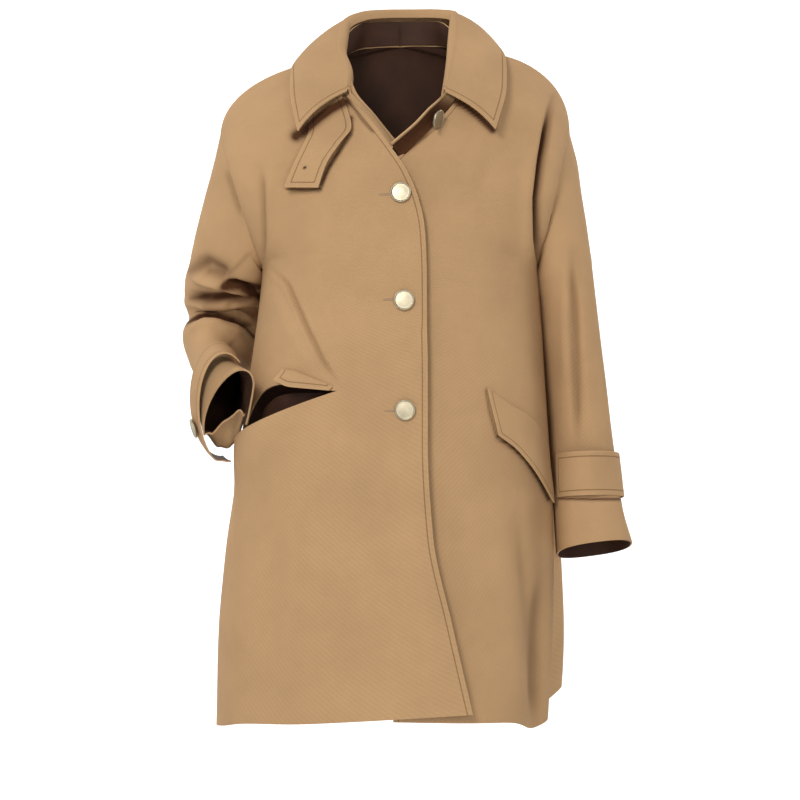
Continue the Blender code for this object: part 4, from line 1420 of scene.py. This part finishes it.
class COAT_OT_tab(bpy.types.Operator):
    """Makes the throat tab that hangs from under the collar"""

    bl_idname = "coat.tab"
    bl_label = "Throat tab"

    def execute(self, context):
        sizes = coat_sizes(context)
        bm = bmesh.new()
        lay_grid(bm, *GRIDS["throat_tab"], tab_point, SHEETS["throat_tab"][0], stitched="start end high")
        press_relief(bm, "throat_tab", lambda u, point: 1.0)
        cloth_piece(bm, "throat_tab", sizes.trim_wall, (wool(sizes),))
        return {"FINISHED"}


class COAT_OT_pockets(bpy.types.Operator):
    """Makes the left flap, the right flap's tucked fold and the bag behind the gaping mouth"""

    bl_idname = "coat.pockets"
    bl_label = "Pockets"

    def execute(self, context):
        sizes = coat_sizes(context)
        for node, panel, rows, base in (
            ("pocket_flap_left", "front_left", FLAP_LEFT, 3.0),
            ("pocket_flap_right", "front_right", FLAP_RIGHT, 2.4),
        ):
            bm = bmesh.new()
            lay_grid(bm, *GRIDS["pocket_flap"], self.flap(panel, rows, base), SHEETS[node][0],
                     stitched="start end high")
            cloth_piece(bm, node, sizes.trim_wall, (wool(sizes),))
        bm = bmesh.new()
        lay_grid(bm, *GRIDS["pocket_bag"], self.bag, SHEETS["pocket_bag_right"][0])
        cloth_piece(bm, "pocket_bag_right", sizes.trim_wall * LINING_WALL, (lining(sizes),),
                    "pocket_bag_lining", "pocket_lining")
        return {"FINISHED"}

    def flap(self, panel, rows, base):
        def place(u, v):
            tx, tz, bx, bz, stand = spline(rows, u * (len(rows) - 1))
            off = base + (stand - base) * smooth(v)
            return on_panel(panel, tx + (bx - tx) * v, tz + (bz - tz) * v, off)

        return place

    def bag(self, u, v):
        across = POCKET_START + BAG_INSET + (POCKET_END - POCKET_START - BAG_NARROWER) * u
        place = v * (len(POCKET_BAG) - 1)
        drop, depth = spline(POCKET_BAG, place)
        row = POCKET_ROW - drop / BAG_ROW_DROP
        if drop < 0:
            row = POCKET_ROW - drop / BAG_ROW_DROP * pocket_gape(across)
        front = right_front_point(across, min(row, POCKET_ROW))
        back = panel_point("front_right", across, row)
        base = front.lerp(back, smooth(place - BAG_TURN_ROW))
        return base - panel_normal("front_right", across, row) * depth


class COAT_OT_stitching(bpy.types.Operator):
    """Makes the stitched beads of the buttonholes and the eyelet in the throat tab"""

    bl_idname = "coat.stitching"
    bl_label = "Buttonholes and eyelet"

    def execute(self, context):
        sizes = coat_sizes(context)
        for name, x, z in BUTTONHOLES:
            self.buttonhole(sizes, name, *panel_spot("front_right", x, z))
        u, v, radius, strand = EYELET
        here = tab_point(u, v)
        across = (tab_point(u + 0.01, v) - here).normalized()
        along = (tab_point(u, v + 0.01) - here).normalized()
        normal = across.cross(along).normalized()
        if normal.y > 0:
            normal = -normal

        def ring(p, q):
            turn = 2 * math.pi * (p % 1.0)
            roll = 2 * math.pi * (q % 1.0)
            arm = across * math.cos(turn) + along * math.sin(turn)
            up = EYELET_LIFT + strand * math.sin(roll)
            return here + arm * (radius + strand * math.cos(roll)) + normal * up

        bm = bmesh.new()
        lay_grid(bm, *GRIDS["eyelet"], ring, (0.01, 0.004))
        bmesh.ops.remove_doubles(bm, verts=bm.verts, dist=MERGE)
        self.finish(bm, "eyelet_thread", thread(sizes))
        # Painted shade: a dark disc of the lining, bulging a little, stands in for the shade seen through
        # the eyelet's hole.
        bm = bmesh.new()
        bmesh.ops.create_uvsphere(bm, u_segments=24, v_segments=8, radius=1.0)
        for vert in bm.verts:
            spot = vert.co.copy()
            arm = (across * spot.x + along * spot.y) * radius
            vert.co = (here + arm + normal * spot.z * HOLE_BULGE) * MM
        self.finish(bm, "eyelet_hole_shade", lining(sizes))
        return {"FINISHED"}

    def buttonhole(self, sizes, name, here, normal):
        """A long low bead that lies across the front."""
        long, wide, high = BUTTONHOLE
        bm = bmesh.new()
        bmesh.ops.create_uvsphere(bm, u_segments=32, v_segments=12, radius=1.0)
        side = Vector((1, 0, 0))
        side = (side - normal * side.dot(normal)).normalized()
        up = normal.cross(side)
        for vert in bm.verts:
            spot = vert.co.copy()
            blunt = math.copysign(abs(spot.x) ** BUTTONHOLE_BLUNT, spot.x)
            vert.co = (here + side * blunt * long + up * spot.y * wide + normal * spot.z * high) * MM
        self.finish(bm, name, thread(sizes))

    def finish(self, bm, name, material):
        bmesh.ops.recalc_face_normals(bm, faces=bm.faces)
        settle(mesh_object(bm, name, material), "camel_wool")


class COAT_OT_straps(bpy.types.Operator):
    """Makes the straps round the cuffs"""

    bl_idname = "coat.straps"
    bl_label = "Cuff straps"

    def execute(self, context):
        sizes = coat_sizes(context)
        for side, rings in STRAPS.items():
            first, last = STRAP_TURNS[side]

            def place(u, v):
                ring = spline(rings, v * (len(rings) - 1))
                turn = first + (last - first) * u
                point = ring_point(ring, turn, STRAP_GROW[side])
                if side == "right":
                    point += STRAP_TAIL_DROP * v * smooth((STRAP_TAIL_TURN - turn) / STRAP_TAIL_RUN)
                return point

            node = "sleeve_strap_" + side
            bm = bmesh.new()
            lay_grid(bm, *GRIDS["sleeve_strap"], place, SHEETS[node][0],
                     lambda centre: ring_middle(rings[1]) * MM, stitched="start end low high")
            # The straps' inner faces are the dark lining; on the right strap's turned tail it also serves
            # as painted shade.
            cloth_piece(bm, node, sizes.trim_wall, (wool(sizes), lining(sizes)))
        return {"FINISHED"}


class COAT_OT_buttons(bpy.types.Operator):
    """Makes the six metal buttons: domed faces with a raised rim"""

    bl_idname = "coat.buttons"
    bl_label = "Buttons"

    # Radius as a share of the button's, and height above its back in millimetres.
    PROFILE = (
        (0.0, 3.5),
        (0.30, 3.45),
        (0.58, 3.25),
        (0.80, 2.95),
        (0.86, 2.95),
        (0.90, 3.5),
        (0.945, 3.9),
        (0.985, 3.7),
        (1.0, 3.1),
        (0.985, 1.6),
        (0.9, 0.6),
        (0.5, 0.0),
        (0.0, 0.0),
    )

    def execute(self, context):
        sizes = coat_sizes(context)
        for name, x, z in FRONT_BUTTONS:
            here, way = panel_spot("front_right", x, z)
            self.button(sizes, name, here + way * BUTTON_GAP, way)
        self.button(sizes, "button_collar", Vector(COLLAR_BUTTON), Vector(COLLAR_BUTTON_WAY))
        for side, rings in STRAPS.items():
            here, way = self.on_strap(side, rings)
            self.button(sizes, "button_sleeve_" + side, here + way * STRAP_BUTTON_GAP, way)
        return {"FINISHED"}

    def on_strap(self, side, rings):
        turn = STRAP_BUTTON_TURN[side]
        grow = STRAP_GROW[side]
        here = ring_point(rings[1], turn, grow)
        run = Vector(rings[2][0:3]) - Vector(rings[0][0:3])
        step = STRAP_BUTTON_STEP
        way = ring_point(rings[1], turn + step, grow) - ring_point(rings[1], turn - step, grow)
        way = way.cross(run).normalized()
        return here, way if way.dot(here - ring_middle(rings[1])) > 0 else -way

    def button(self, sizes, node, centre, way):
        way = way.normalized()
        bm = bmesh.new()
        profile = [bm.verts.new((r * BUTTON_RADIUS * MM, 0, h * MM)) for r, h in self.PROFILE]
        edges = [bm.edges.new(pair) for pair in zip(profile, profile[1:])]
        bmesh.ops.spin(bm, geom=profile + edges, axis=(0, 0, 1), cent=(0, 0, 0), steps=48,
                       angle=2 * math.pi, use_merge=True)
        bmesh.ops.remove_doubles(bm, verts=bm.verts, dist=MERGE)
        bmesh.ops.recalc_face_normals(bm, faces=bm.faces)
        turn = way.to_track_quat("Z", "Y").to_matrix().to_4x4()
        turn.translation = centre * MM
        bmesh.ops.transform(bm, matrix=turn, verts=bm.verts)
        settle(mesh_object(bm, node + "_metal", metal(sizes)), "button_metal", node)


PIECES = (
    COAT_OT_stage,
    COAT_OT_fronts,
    COAT_OT_back,
    COAT_OT_sleeves,
    COAT_OT_collar,
    COAT_OT_tab,
    COAT_OT_pockets,
    COAT_OT_straps,
    COAT_OT_buttons,
    COAT_OT_stitching,
)


class COAT_PT_panel(bpy.types.Panel):
    """Lists the coat's sizes, colours and pieces"""

    bl_label = "Swing coat"
    bl_idname = "COAT_PT_panel"
    bl_space_type = "VIEW_3D"
    bl_region_type = "UI"
    bl_category = "Coat"

    def draw(self, context):
        sizes = coat_sizes(context)
        for name in ("wall", "trim_wall", "fineness", "twill_pitch", "camel", "lining", "gold",
                     "key_power", "ambient", "floor_drop"):
            self.layout.prop(sizes, name)
        for piece in PIECES:
            self.layout.operator(piece.bl_idname)


def register():
    bpy.utils.register_class(CoatSizes)
    for piece in PIECES:
        bpy.utils.register_class(piece)
    bpy.utils.register_class(COAT_PT_panel)
    bpy.types.Scene.swing_coat = PointerProperty(type=CoatSizes)


def unregister():
    del bpy.types.Scene.swing_coat
    bpy.utils.unregister_class(COAT_PT_panel)
    for piece in reversed(PIECES):
        bpy.utils.unregister_class(piece)
    bpy.utils.unregister_class(CoatSizes)


def main():
    register()
    for piece in PIECES:
        group, name = piece.bl_idname.split(".")
        getattr(getattr(bpy.ops, group), name)()


if __name__ == "__main__":
    main()
